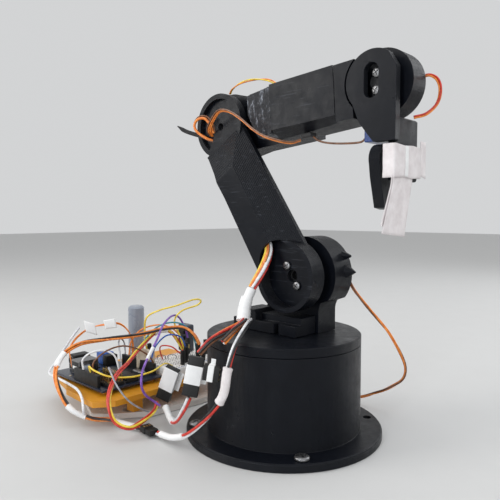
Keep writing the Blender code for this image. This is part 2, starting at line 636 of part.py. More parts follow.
LEADS = {
    "bundle_upper": (
        ORANGE_LEAD,
        5.6,
        [
            (-11, -8, 133), (-7, -8.2, 126), (-5, -9.4, 119), (-5, -15, 109), (-8, -22, 97),
        ],
    ),
    "lead_a": (
        ORANGE_LEAD,
        4.2,
        [
            (-8, -33, 75), (-9, -45, 72), (-11, -56, 67.5), (-14, -62.3, 60.4),
        ],
    ),
    "lead_b": (
        BROWN_LEAD,
        4.2,
        [
            (-5, -32, 78), (2, -44, 77), (6, -54, 75), (6, -61, 70.4),
        ],
    ),
    "lead_a_low": (
        BROWN_LEAD,
        3.6,
        [
            (-19, -66.6, 33), (-23, -67, 25), (-34, -64, 14), (-50, -56, 8), (-64, -50, 12),
        ],
    ),
    "lead_low_1": (
        RED_LEAD,
        3.4,
        [
            (-1, -31, 78), (8, -44, 78), (12, -58, 68), (12, -64, 55), (10, -65, 42), (3, -66, 31),
            (-8, -66, 20), (-20, -68, 10), (-33, -69, 5), (-49, -68, 3),
        ],
    ),
    "lead_low_2": (
        ORANGE_LEAD,
        3.4,
        [
            (-64, -70, 3), (-73, -73, 3), (-88, -78, 4), (-98, -87, 5), (-108, -97, 12),
            (-119, -99, 22), (-130, -96, 33), (-138, -86, 42), (-138, -72, 48), (-131, -54, 49),
            (-116, -36, 52), (-104, -20, 56), (-94, -10, 57), (-87, -5, 52), (-83.5, -2, 44),
        ],
    ),
    "lead_mid": (
        RED_LEAD,
        3.2,
        [
            (-112, 6, 33), (-114, -6, 50), (-115, -20, 51), (-111, -36, 44), (-101, -54, 38),
            (-90, -72, 33), (-76, -87, 24), (-66, -90, 13), (-59, -83, 8), (-59, -72, 9.5),
            (-63, -61, 11.5), (-68, -54, 15),
        ],
    ),
    "lead_arc": (
        ORANGE_LEAD,
        1.8,
        [
            (-150, -72, 26), (-153, -72, 32), (-156, -71.6, 40), (-157, -66, 47), (-153, -60, 53),
            (-146, -55, 57), (-134, -51, 60), (-128, -45, 60.5), (-126, -39, 55), (-126, -34.6, 46),
            (-126, -33.7, 34),
        ],
    ),
    "lead_white": (
        WHITE_LEAD,
        1.8,
        [
            (-152, -65, 57), (-159, -69, 47), (-167, -72, 36), (-170.5, -76, 28), (-167, -83, 22.6),
            (-154, -86, 22.8), (-134, -88, 23.4), (-112, -90, 23), (-98, -94, 21), (-92, -96.5, 17),
            (-93, -95.5, 12), (-96.5, -92, 9.8),
        ],
    ),
    "lead_purple": (
        PURPLE_LEAD,
        1.6,
        [
            (-61.5, -56.5, 15), (-64, -60, 18.5), (-64.5, -66, 24), (-63, -70, 30.5), (-66, -68, 36.5),
            (-71, -62, 42), (-79, -50, 49), (-86, -40, 54), (-97, -26, 61), (-104, -12, 65),
            (-108, -2, 62), (-109, 5, 52), (-109, 8, 42), (-109, 8, 30.2),
        ],
    ),
    "lead_yellow": (
        YELLOW_LEAD,
        1.4,
        [
            (-119, -22, 30.2), (-120, -26, 42), (-121, -26, 53), (-118, -26, 64), (-109, -20, 70),
            (-102, -10, 73), (-96, 3, 77), (-94, 9, 76), (-97, 8, 72), (-103, -3, 68), (-105, -9, 60),
            (-101, -6, 47), (-97, -3, 30.2),
        ],
    ),
    "elbow_ribbon": (
        ORANGE_LEAD,
        3.2,
        [
            (-63.2, -6.4, 201), (-60.5, -11.5, 205), (-51, -15, 212), (-43, -17, 215), (-33, -18, 213),
            (-22, -18.5, 207), (-12, -19, 200), (-1, -20, 194), (10, -20, 190), (18, -15.5, 188),
            (22.3, -11.3, 189.6),
        ],
    ),
    "forearm_lead": (
        ORANGE_LEAD,
        1.8,
        [
            (-60, 9, 233), (-56, 8, 236), (-46, 7, 238.5), (-31, 5, 238), (-17, 4, 235), (-9, 5, 230),
        ],
    ),
    "shoulder_lead": (
        BROWN_LEAD,
        2.2,
        [
            (24, 31.5, 112), (28.5, 32, 104), (33, 33, 95), (38, 36, 87), (46, 41, 76), (53, 47, 64.5),
            (58, 52, 52), (59, 57, 41), (54, 63, 31), (43, 69, 22.5), (29, 73.5, 14), (13, 76, 6),
            (-6, 77.5, 1.5), (-26, 76, 1.4), (-45, 70, 1.5), (-60, 61, 3.6), (-70, 51.5, 10),
            (-77, 43.5, 20), (-83, 36, 32), (-87, 29.5, 37.5), (-90.5, 25, 30.8),
        ],
    ),
    "wrist_lead": (
        ORANGE_LEAD,
        2.2,
        [
            (86, 13.2, 219), (91, 14.6, 221.5), (96, 15.6, 219), (98.4, 15.4, 213),
            (97.2, 14.2, 205.5), (92, 12.4, 200), (86, 9.6, 198.2),
        ],
    ),
    "thin_wire": (
        BROWN_LEAD,
        1.2,
        [
            (28.3, -6, 191.5), (33, -6.4, 188.6), (41, -6.8, 186.6), (52, -7, 185.4), (62, -7, 185.2),
            (65, -6.6, 187),
        ],
    ),
}


def elbow_tie():
    """The black tie whose tail sticks out behind the elbow cup."""
    route = [(-97, -10.5, 211.5), (-88.5, -10.3, 207), (-77, -10, 203.2), (-66, -9.6, 200.2)]
    lead("elbow_tie", BLACK_MATT, 3.0, route)


def leads():
    for name, (spec, diameter, route) in LEADS.items():
        lead(name, spec, diameter, route, 3.4 if diameter < 2 else 2.6)


def tilted_block(name, spec, size, centre, turn_deg, edge=0.6):
    half = Vector(size) / 2
    obj = box(-half, half)
    obj.location = Vector(centre) * MM
    obj.rotation_euler = [math.radians(a) for a in turn_deg]
    return piece(bevelled(obj, edge, 1), name, spec)


def connectors():
    tilted_block("bundle_wrap", PAPER, (8, 9, 20), (-10.5, -26.5, 86.5), (22, 12, -20), 1.5)
    tilted_block("connector_a", SOCKET, (9.6, 4.4, 24), (-16.5, -65, 46.5), (-5, 11, 40))
    tilted_block("connector_b", SOCKET, (9.6, 4.4, 33), (2.6, -67.6, 53), (4, 9, 36))
    tilted_block("connector_c", SOCKET, (10, 4.4, 26), (-66, -46, 27), (10, 22, 30))
    tilted_block("low_plug", SOCKET, (13, 7, 4.5), (-56.4, -69.2, 3.2), (0, 0, -6))


def build():
    clear_scene()
    base_housing()
    flange_screws()
    waist_servo()
    tray()
    electronics()
    turntable()
    waist_bracket()
    bracket_block()
    shoulder_servo()
    shoulder = axis_empty("shoulder_axis", None, (SHOULDER_X, 0, SHOULDER_Z), -LEAN_DEG)
    elbow = axis_empty("elbow_axis", shoulder, (0, 0, UPPER_LENGTH), LEAN_DEG - FOREARM_PITCH_DEG)
    pitch = axis_empty("wrist_pitch_axis", elbow, (WRIST_X, 0, 0), FOREARM_PITCH_DEG)
    upper_arm(shoulder)
    horns(shoulder)
    forearm(elbow)
    forearm_patch(elbow)
    elbow_servo(elbow)
    forearm_small(elbow)
    wrist(elbow)
    hand_plate(pitch)
    pitch_horn(pitch)
    gripper(pitch)
    jaws(pitch)
    elbow_tie()
    leads()
    connectors()


build()
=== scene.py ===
import json
import math
import random

import bmesh
import bpy
from mathutils import Matrix, Vector, noise

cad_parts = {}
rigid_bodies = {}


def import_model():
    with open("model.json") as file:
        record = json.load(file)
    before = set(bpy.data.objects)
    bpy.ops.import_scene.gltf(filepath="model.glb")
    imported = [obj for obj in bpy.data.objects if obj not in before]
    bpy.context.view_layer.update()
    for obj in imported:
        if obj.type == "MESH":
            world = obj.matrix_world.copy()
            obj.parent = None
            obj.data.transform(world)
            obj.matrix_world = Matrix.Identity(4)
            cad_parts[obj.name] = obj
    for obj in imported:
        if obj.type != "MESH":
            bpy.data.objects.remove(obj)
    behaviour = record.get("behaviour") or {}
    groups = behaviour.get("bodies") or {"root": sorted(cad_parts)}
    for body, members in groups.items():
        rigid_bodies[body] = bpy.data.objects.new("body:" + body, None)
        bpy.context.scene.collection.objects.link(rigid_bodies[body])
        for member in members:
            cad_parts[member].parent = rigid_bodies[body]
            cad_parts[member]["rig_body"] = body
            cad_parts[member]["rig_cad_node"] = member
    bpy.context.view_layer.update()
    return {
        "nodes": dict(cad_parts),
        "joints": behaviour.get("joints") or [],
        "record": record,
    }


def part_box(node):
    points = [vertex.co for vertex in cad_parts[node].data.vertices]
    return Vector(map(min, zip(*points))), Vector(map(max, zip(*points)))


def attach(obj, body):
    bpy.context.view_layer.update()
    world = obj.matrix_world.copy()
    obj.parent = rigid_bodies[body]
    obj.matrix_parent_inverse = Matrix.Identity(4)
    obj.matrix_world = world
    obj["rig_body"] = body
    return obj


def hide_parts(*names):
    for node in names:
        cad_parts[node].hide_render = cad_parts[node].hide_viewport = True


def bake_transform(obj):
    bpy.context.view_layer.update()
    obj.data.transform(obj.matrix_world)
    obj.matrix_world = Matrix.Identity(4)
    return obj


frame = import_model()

# Looks of the desktop robot arm: printed black shells, bright screws, many-stranded leads with
# their connectors, paper tape and the controller tray. Everything is in metres in the frame's own
# axes; MM turns the millimetre sizes below into metres. Every new mesh is made in place, so object
# coordinates are the frame's coordinates.

MM = 0.001
NODES = frame["nodes"]
JOINTS = {joint["name"]: joint for joint in frame["joints"]}
BODY = {node: body for body, nodes in frame["record"]["behaviour"]["bodies"].items() for node in nodes}

SHOULDER = Vector(JOINTS["shoulder_pitch"]["pos_m"])
ELBOW = Vector(JOINTS["elbow_pitch"]["pos_m"])
WRIST = Vector(JOINTS["wrist_pitch"]["pos_m"])
FOREARM_TURN = math.atan2(WRIST.z - ELBOW.z, WRIST.x - ELBOW.x)
IN_FOREARM = Matrix.Translation(ELBOW) @ Matrix.Rotation(-FOREARM_TURN, 4, "Y")
IN_SHOULDER = Matrix.Translation(SHOULDER)


# Camera, light and floor

def camera():
    data = bpy.data.cameras.new("camera")
    data.lens = 39.1
    data.sensor_width = 36.0
    data.clip_start = 0.01
    view = bpy.data.objects.new("camera", data)
    bpy.context.scene.collection.objects.link(view)
    view.location = (0.2313, -0.2757, 0.1439)
    view.rotation_euler = Vector((-0.688, 0.723, -0.064)).to_track_quat("-Z", "Y").to_euler()
    bpy.context.scene.camera = view


def area_light(name, location, target, size, power, colour=(1, 1, 1)):
    data = bpy.data.lights.new(name, "AREA")
    data.shape = "RECTANGLE"
    data.size, data.size_y = size
    data.energy = power
    data.color = colour
    light = bpy.data.objects.new(name, data)
    bpy.context.scene.collection.objects.link(light)
    light.location = location
    light.rotation_euler = (Vector(target) - Vector(location)).to_track_quat("-Z", "Y").to_euler()


def studio():
    middle = (-0.03, 0, 0.12)
    area_light("key", (-0.75, -0.85, 0.75), middle, (0.5, 0.9), 6.5, (1, 0.98, 0.95))
    area_light("strip", (0.21, -1.03, 0.22), middle, (0.09, 1.0), 4.5, (0.9, 0.95, 1))
    area_light("fill", (0.95, -0.45, 0.55), middle, (0.7, 0.7), 2.2, (0.93, 0.96, 1))
    area_light("top", (0, 0.1, 1.1), middle, (0.9, 0.9), 3.2)
    area_light("rim", (0.3, 0.95, 0.6), middle, (0.7, 0.7), 3, (0.95, 0.97, 1))
    world = bpy.data.worlds.new("studio")
    world.use_nodes = True
    world.node_tree.nodes["Background"].inputs["Color"].default_value = (0.90, 0.91, 0.92, 1)
    world.node_tree.nodes["Background"].inputs["Strength"].default_value = 0.72
    bpy.context.scene.world = world
    bpy.context.scene.view_settings.view_transform = "Standard"


def floor():
    bpy.ops.mesh.primitive_plane_add(size=8, location=(0, 0, -0.0002))
    ground = bpy.context.object
    ground.name = "floor"
    look = Look("floor_pale", roughness=0.7)
    look.colour(look.noise(30, 3), (0.55, 0.55, 0.545), (0.58, 0.58, 0.575))
    ground.data.materials.append(look.material)


# Materials: each is a small node tree on the object's own coordinates

class Look:
    """A procedural material under construction. Lengths in its patterns are in millimetres."""

    def __init__(self, name, roughness=0.5, metallic=0.0, specular=0.5, coat=0.0, sheen=0.0):
        self.material = bpy.data.materials.new(name)
        self.material.use_nodes = True
        self.tree = self.material.node_tree
        self.bsdf = self.tree.nodes["Principled BSDF"]
        self.set("Roughness", roughness)
        self.set("Metallic", metallic)
        self.set("Specular IOR Level", specular)
        self.set("Coat Weight", coat)
        self.set("Sheen Weight", sheen)
        place = self.tree.nodes.new("ShaderNodeTexCoord")
        scale = self.tree.nodes.new("ShaderNodeMapping")
        scale.inputs["Scale"].default_value = (1000, 1000, 1000)
        self.tree.links.new(place.outputs["Object"], scale.inputs["Vector"])
        self.place = scale.outputs["Vector"]

    def set(self, socket, value):
        self.bsdf.inputs[socket].default_value = value

    def stretched(self, factors, turn_deg=(0, 0, 0)):
        """The coordinates turned, then scaled by a factor on each axis."""
        node = self.tree.nodes.new("ShaderNodeMapping")
        node.inputs["Rotation"].default_value = [math.radians(a) for a in turn_deg]
        node.inputs["Scale"].default_value = factors
        self.tree.links.new(self.place, node.inputs["Vector"])
        return node.outputs["Vector"]

    def noise(self, size, detail=3.0, place=None, roughness=0.6):
        """A noise whose blobs are about size millimetres."""
        node = self.tree.nodes.new("ShaderNodeTexNoise")
        node.inputs["Scale"].default_value = 1 / size
        node.inputs["Detail"].default_value = detail
        node.inputs["Roughness"].default_value = roughness
        self.tree.links.new(place or self.place, node.inputs["Vector"])
        return node.outputs["Fac"]

    def lines(self, pitch, axis="Z", wobble=0.0, place=None):
        """Parallel ridges across an axis, pitch millimetres apart."""
        node = self.tree.nodes.new("ShaderNodeTexWave")
        node.wave_type = "BANDS"
        node.bands_direction = axis
        node.inputs["Scale"].default_value = math.pi / 10 / pitch
        node.inputs["Distortion"].default_value = wobble
        node.inputs["Detail Scale"].default_value = 1.5
        self.tree.links.new(place or self.place, node.inputs["Vector"])
        return node.outputs["Fac"]

    def ramp(self, value, stops):
        """value through a ramp of (position, grey or colour) stops."""
        node = self.tree.nodes.new("ShaderNodeValToRGB")
        while len(node.color_ramp.elements) < len(stops):
            node.color_ramp.elements.new(0.5)
        for element, (position, shade) in zip(node.color_ramp.elements, stops):
            element.position = position
            element.color = (shade, shade, shade, 1) if isinstance(shade, (int, float)) else (*shade, 1)
        self.tree.links.new(value, node.inputs["Fac"])
        return node.outputs["Color"]

    def mix(self, share, first, second):
        """first where share is 0 and second where it is 1; each is a colour or an output."""
        node = self.tree.nodes.new("ShaderNodeMix")
        node.data_type = "RGBA"
        self.tree.links.new(share, node.inputs["Factor"])
        self._feed(node, first, "A")
        self._feed(node, second, "B")
        return node.outputs[2]

    def _feed(self, node, value, name):
        socket = [s for s in node.inputs if s.name == name and s.type == "RGBA"][0]
        if isinstance(value, tuple):
            socket.default_value = (*value, 1)
        else:
            self.tree.links.new(value, socket)

    def colour(self, share, first, second):
        self.tree.links.new(self.mix(share, first, second), self.bsdf.inputs["Base Color"])

    def colour_from(self, output):
        self.tree.links.new(output, self.bsdf.inputs["Base Color"])

    def rough(self, value, low, high):
        self.tree.links.new(self.ramp(value, [(0.3, low), (0.7, high)]), self.bsdf.inputs["Roughness"])

    def relief(self, *heights):
        """Bumps, each (output, depth in millimetres), one on top of the other."""
        normal = None
        for output, depth in heights:
            bump = self.tree.nodes.new("ShaderNodeBump")
            bump.inputs["Distance"].default_value = depth * MM
            self.tree.links.new(output, bump.inputs["Height"])
            if normal is not None:
                self.tree.links.new(normal, bump.inputs["Normal"])
            normal = bump.outputs["Normal"]
        self.tree.links.new(normal, self.bsdf.inputs["Normal"])


def printed(
    name, layers="Z", pitch=0.45, dark=(0.0025, 0.003, 0.005), pale=(0.0055, 0.007, 0.011),
    streaked=False
):
    """Black printed plastic: layer ridges, a satin gloss that varies and, where asked, pale bluish streaks
    slanted across it.
    """
    look = Look(name, roughness=0.36, specular=0.17)
    tone = look.mix(look.noise(14, 4), dark, pale)
    if streaked:
        # Pale bluish streaks slanted 32 degrees, mixed into the tone at up to 40 percent.
        along = look.noise(1.1, 4, look.stretched((0.06, 0.6, 0.9), (0, 32, 0)))
        marks = look.ramp(along, [(0.60, 0.0), (0.70, 0.4)])
        tone = look.mix(marks, tone, (0.07, 0.075, 0.09))
    look.colour_from(tone)
    look.rough(look.noise(6, 4), 0.27, 0.44)
    ridges = look.lines(pitch, layers, 0.4)
    look.relief((ridges, 0.15), (look.noise(0.7, 3), 0.02), (look.noise(9, 2), 0.12))
    return look.material


def moulded(name, dark, pale, roughness=0.4, grain=0.4, specular=0.5, coat=0.0):
    """Smooth moulded plastic with a fine grain."""
    look = Look(name, roughness=roughness, specular=specular, coat=coat)
    look.colour(look.noise(5, 4), dark, pale)
    look.rough(look.noise(3, 3), roughness * 0.85, min(1.0, roughness * 1.2))
    look.relief((look.noise(grain, 2), 0.012), (look.noise(4, 2), 0.03))
    return look.material


def metal(name, dark, pale, roughness=0.25):
    look = Look(name, roughness=roughness, metallic=1.0)
    look.colour(look.noise(1.2, 4), dark, pale)
    look.rough(look.noise(0.8, 4), roughness * 0.7, roughness * 1.5)
    look.relief((look.noise(0.5, 3, look.stretched((1, 6, 1))), 0.01))
    return look.material


def insulation(name, dark, pale, roughness=0.38):
    """A wire's plastic sleeve: even colour with handling marks and a soft gloss."""
    look = Look(name, roughness=roughness, specular=0.5)
    look.colour(look.ramp(look.noise(2.5, 4), [(0.35, 0.0), (0.65, 1.0)]), dark, pale)
    look.relief((look.noise(0.6, 3), 0.02))
    return look.material


def paper(name, dark, pale):
    look = Look(name, roughness=0.8, specular=0.25, sheen=0.1)
    look.colour(look.ramp(look.noise(7, 5), [(0.35, 0.0), (0.7, 1.0)]), dark, pale)
    look.relief((look.noise(0.25, 3), 0.02), (look.noise(5, 3), 0.25))
    look.set("Subsurface Weight", 0.08)
    look.set("Subsurface Radius", (0.002, 0.002, 0.002))
    return look.material


def glue():
    """Scraped filler over black plastic: pale smears in the middle of it, dark pits and ridges."""
    look = Look("glue_scraped", roughness=0.5, specular=0.35)
    slanted = look.stretched((1, 0.7, 0.45), (0, 28, 0))
    smear = look.ramp(look.noise(4.5, 6, slanted, 0.7), [(0.52, 0.0), (0.62, 1.0)])
    fine = look.ramp(look.noise(0.9, 5, slanted), [(0.45, 0.0), (0.7, 1.0)])
    whites = look.mix(fine, (0.05, 0.055, 0.07), (0.46, 0.49, 0.55))
    look.colour_from(look.mix(smear, (0.009, 0.010, 0.014), whites))
    look.rough(look.noise(1.5, 4), 0.3, 0.7)
    look.relief((look.noise(2.2, 5), 0.3), (look.noise(0.6, 4), 0.1))
    return look.material


def tray_plastic():
    """Honey-yellow plate, a little translucent, darker and redder on the side in shade."""
    look = Look("tray_yellow", roughness=0.42, specular=0.5)
    look.colour(look.noise(18, 4), (0.52, 0.20, 0.006), (0.70, 0.32, 0.014))
    look.rough(look.noise(5, 3), 0.32, 0.55)
    look.relief((look.noise(0.9, 3), 0.03), (look.lines(0.5, "Z", 0.3), 0.05))
    look.set("Subsurface Weight", 0.12)
    look.set("Subsurface Radius", (0.003, 0.0015, 0.0004))
    return look.material


def clear_sheet():
    look = Look("sheet_clear", roughness=0.2, specular=0.5)
    look.colour(look.noise(20, 4), (0.66, 0.58, 0.52), (0.82, 0.79, 0.76))
    look.relief((look.noise(12, 3), 0.1))
    look.rough(look.noise(3, 3), 0.12, 0.3)
    look.set("Transmission Weight", 0.15)
    look.set("IOR", 1.49)
    return look.material


def board_lacquer():
    """Dark blue-green lacquer with raised copper tracks showing through."""
    look = Look("board_lacquer", roughness=0.35, specular=0.5, coat=0.3)
    tracks = look.ramp(look.lines(2.6, "X", 2.5), [(0.72, 0.0), (0.8, 1.0)])
    look.colour(tracks, (0.006, 0.010, 0.024), (0.012, 0.022, 0.045))
    look.relief((tracks, 0.04), (look.noise(1, 2), 0.01))
    return look.material


def smoked():
    """The dull grey plastic skin of the standing can, with soft upright streaks."""
    look = Look("can_smoked", roughness=0.3, specular=0.5, coat=0.2)
    streaks = look.noise(7, 2, look.stretched((1, 1, 0.25), (0, 0, 0)))
    look.colour(streaks, (0.15, 0.17, 0.21), (0.33, 0.36, 0.42))
    look.rough(look.noise(6, 2), 0.22, 0.4)
    look.relief((look.noise(5, 2), 0.05))
    return look.material


def sooty():
    """The black tape or putty blob: soft, uneven and dull."""
    look = Look("tape_black", roughness=0.6, specular=0.4)
    look.colour(look.noise(2, 4), (0.012, 0.012, 0.013), (0.035, 0.034, 0.034))
    look.relief((look.noise(1.6, 4), 0.2))
    return look.material


def make_looks():
    wires = {
        "orange": ((0.62, 0.15, 0.02), (0.88, 0.30, 0.05)),
        "red": ((0.42, 0.02, 0.015), (0.68, 0.05, 0.03)),
        "brown": ((0.10, 0.04, 0.018), (0.24, 0.10, 0.045)),
        "black": ((0.008, 0.008, 0.009), (0.03, 0.03, 0.032)),
        "white": ((0.60, 0.61, 0.64), (0.86, 0.86, 0.86)),
        "yellow": ((0.72, 0.48, 0.03), (0.90, 0.72, 0.10)),
        "green": ((0.02, 0.20, 0.10), (0.06, 0.38, 0.22)),
        "teal": ((0.01, 0.16, 0.22), (0.04, 0.34, 0.42)),
        "blue": ((0.01, 0.06, 0.30), (0.04, 0.16, 0.55)),
        "purple": ((0.12, 0.04, 0.28), (0.26, 0.12, 0.52)),
        "grey": ((0.22, 0.23, 0.26), (0.42, 0.43, 0.46)),
    }
    looks = {name: insulation("wire_" + name, *shades) for name, shades in wires.items()}
    looks.update(
        pla=printed("pla_black"),
        pla_base=printed("pla_black_base", "Z", 0.6),
        pla_side=printed("pla_black_side", "Y", 0.5),
        pla_worn=printed("pla_black_streaked", "Y", 0.5, streaked=True),
        matt=moulded("plastic_matt", (0.006, 0.006, 0.007), (0.014, 0.014, 0.016), 0.6, specular=0.3),
        servo=moulded("servo_black", (0.006, 0.006, 0.007), (0.014, 0.014, 0.016), 0.35, specular=0.35),
        servo_blue=moulded("servo_blue", (0.008, 0.03, 0.14), (0.02, 0.06, 0.24), 0.3, coat=0.2),
        socket=moulded("socket_black", (0.006, 0.006, 0.006), (0.016, 0.016, 0.016), 0.45, specular=0.35),
        nylon=moulded("nylon_white", (0.70, 0.70, 0.68), (0.84, 0.84, 0.82), 0.4),
        breadboard=moulded("breadboard_white", (0.76, 0.75, 0.72), (0.86, 0.85, 0.83), 0.45),
        sleeve=moulded("sleeve_white", (0.72, 0.72, 0.72), (0.88, 0.88, 0.87), 0.5),
        # Painted shade: a dark grey given to hole walls, socket mouths and a housing's split, standing for
        # the shade inside them.
        pit=moulded("contact_pit", (0.012, 0.012, 0.012), (0.05, 0.05, 0.05), 0.7),
        steel=metal("steel_bright", (0.16, 0.16, 0.17), (0.34, 0.34, 0.34), 0.34),
        brass=metal("contact_brass", (0.55, 0.40, 0.16), (0.80, 0.62, 0.28)),
        paper=paper("paper_tape", (0.66, 0.61, 0.61), (0.80, 0.76, 0.76)),
        tag=paper("paper_tag", (0.55, 0.45, 0.33), (0.72, 0.62, 0.49)),
        glue=glue(),
        tray=tray_plastic(),
        sheet=clear_sheet(),
        board=board_lacquer(),
        can=smoked(),
        blob=sooty(),
    )
    return looks


# Shapes

class Shape:
    """A mesh built up from blocks, rods and tubes, each with its own material, that becomes one piece."""

    def __init__(self):
        self.bm = bmesh.new()
        self.looks = []

    def _finish(self, faces, look):
        if look not in self.looks:
            self.looks.append(look)
        index = self.looks.index(look)
        for face in faces:
            face.material_index = index
            face.smooth = True

    def block(self, low, high, look, edge=0.3, matrix=Matrix.Identity(4), segments=2):
        """A box with rounded edges, from corner to corner in millimetres, then moved by matrix."""
        low, high = Vector(low), Vector(high)
        before = set(self.bm.faces)
        made = bmesh.ops.create_cube(self.bm, size=1)["verts"]
        size = (high - low) * MM
        place = matrix @ Matrix.Translation((low + high) / 2 * MM) @ Matrix.Diagonal((*size, 1))
        bmesh.ops.transform(self.bm, matrix=place, verts=made)
        edges = {e for v in made for e in v.link_edges}
        bmesh.ops.bevel(
            self.bm, geom=list(edges), offset=edge * MM, segments=segments, affect="EDGES",
            profile=0.6
        )
        self._finish(set(self.bm.faces) - before, look)

    def turned(self, profile, look, matrix=Matrix.Identity(4), sides=32):
        """A closed turned solid from (radius, height) points, bottom centre to top centre."""
        before = set(self.bm.faces)
        rings = []
        for radius, height in profile:
            if radius == 0:
                rings.append([self.bm.verts.new(matrix @ Vector((0, 0, height * MM)))])
                continue
            ring = []
            for i in range(sides):
                a = 2 * math.pi * i / sides
                ring.append(self.bm.verts.new(matrix @ Vector((
                    radius * MM * math.cos(a), radius * MM * math.sin(a), height * MM))))
            rings.append(ring)
        for lower, upper in zip(rings, rings[1:]):
            for i in range(sides):
                k = (i + 1) % sides
                if len(lower) == 1:
                    self.bm.faces.new((lower[0], upper[k], upper[i]))
                elif len(upper) == 1:
                    self.bm.faces.new((lower[i], lower[k], upper[0]))
                else:
                    self.bm.faces.new((lower[i], lower[k], upper[k], upper[i]))
        self._finish(set(self.bm.faces) - before, look)

    def tube(self, points, radius, look, sides=10):
        """A round tube along points in metres, with domed ends; radius is a number or one for each point."""
        before = set(self.bm.faces)
        radii = radius if isinstance(radius, list) else [radius] * len(points)
        frames = transported(points)
        rings = []
        for point, (across, up), r in zip(points, frames, radii):
            turns = [2 * math.pi * i / sides for i in range(sides)]
            rings.append([
                self.bm.verts.new(point + (across * math.cos(a) + up * math.sin(a)) * r * MM)
                for a in turns])
        for lower, upper in zip(rings, rings[1:]):
            for i in range(sides):
                k = (i + 1) % sides
                self.bm.faces.new((lower[i], lower[k], upper[k], upper[i]))
        for ring, inward, point, r in (
            (rings[0], 1, points[0], radii[0]), (rings[-1], -1, points[-1], radii[-1])
        ):
            away = (points[0] - points[1]) if inward == 1 else (points[-1] - points[-2])
            tip = self.bm.verts.new(point + away.normalized() * r * 0.5 * MM)
            for i in range(sides):
                k = (i + 1) % sides
                self.bm.faces.new((tip, ring[k], ring[i]) if inward == 1 else (tip, ring[i], ring[k]))
        self._finish(set(self.bm.faces) - before, look)

    def piece(self, name, sharp_deg=40):
        bmesh.ops.recalc_face_normals(self.bm, faces=self.bm.faces)
        mesh = bpy.data.meshes.new(name)
        self.bm.to_mesh(mesh)
        self.bm.free()
        for look in self.looks:
            mesh.materials.append(LOOKS[look])
        obj = bpy.data.objects.new(name, mesh)
        bpy.context.scene.collection.objects.link(obj)
        mesh.set_sharp_from_angle(angle=math.radians(sharp_deg))
        return obj


def transported(points):
    """Two directions across the line at each point, carried along it without twist."""
    tangents = []
    for i in range(len(points)):
        tangents.append((points[min(i + 1, len(points) - 1)] - points[max(i - 1, 0)]).normalized())
    start = Vector((0, 0, 1)) if abs(tangents[0].z) < 0.9 else Vector((1, 0, 0))
    across = tangents[0].cross(start).normalized()
    frames = []
    for tangent in tangents:
        across = (across - tangent * across.dot(tangent)).normalized()
        frames.append((across, tangent.cross(across)))
    return frames


def smooth_path(route, spacing):
    """Points about `spacing` metres apart on a Catmull-Rom curve through the route, given in millimetres."""
    route = [Vector(p) * MM for p in route]
    ends = [route[0] * 2 - route[1]] + route + [route[-1] * 2 - route[-2]]
    fine = [route[0]]
    for a, b, c, d in zip(ends, ends[1:], ends[2:], ends[3:]):
        for step in range(1, 17):
            t = step / 16
            point = 2 * b + (c - a) * t + (2 * a - 5 * b + 4 * c - d) * t**2
            fine.append((point + (3 * b - a - 3 * c + d) * t**3) / 2)
    return even(fine, spacing)


def even(points, spacing):
    """The same line with its points evenly spaced."""
    lengths = [0.0]
    for a, b in zip(points, points[1:]):
        lengths.append(lengths[-1] + (b - a).length)
    count = max(3, round(lengths[-1] / spacing))
    path, k = [], 1
    for i in range(count + 1):
        want = lengths[-1] * i / count
        while k < len(lengths) - 1 and lengths[k] < want:
            k += 1
        share = (want - lengths[k - 1]) / max(lengths[k] - lengths[k - 1], 1e-9)
        path.append(points[k - 1].lerp(points[k], min(1, share)))
    return path


def length_of(points):
    return sum((b - a).length for a, b in zip(points, points[1:]))


def between(points, start, end):
    """The stretch of an evenly spaced line from one share of its length to another."""
    count = len(points) - 1
    return points[round(start * count) : round(end * count) + 1]


def surface(name, place, rows, columns, thickness, look, body):
    """A thin sheet over place(u, v), u and v from 0 to 1, given in millimetres."""
    verts = [Vector(place(i / rows, j / columns)) * MM for i in range(rows + 1) for j in range(columns + 1)]
    wide = columns + 1
    faces = []
    for i in range(rows):
        for j in range(columns):
            corner = i * wide + j
            faces.append((corner, corner + 1, corner + wide + 1, corner + wide))
    mesh = bpy.data.meshes.new(name)
    mesh.from_pydata(verts, [], faces)
    mesh.materials.append(LOOKS[look])
    mesh.shade_smooth()
    obj = bpy.data.objects.new(name, mesh)
    bpy.context.scene.collection.objects.link(obj)
    thick = obj.modifiers.new("thickness", "SOLIDIFY")
    thick.thickness = thickness * MM
    thick.offset = 0
    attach(obj, body)
    return obj


# Cords: the routes are the model's own, in millimetres

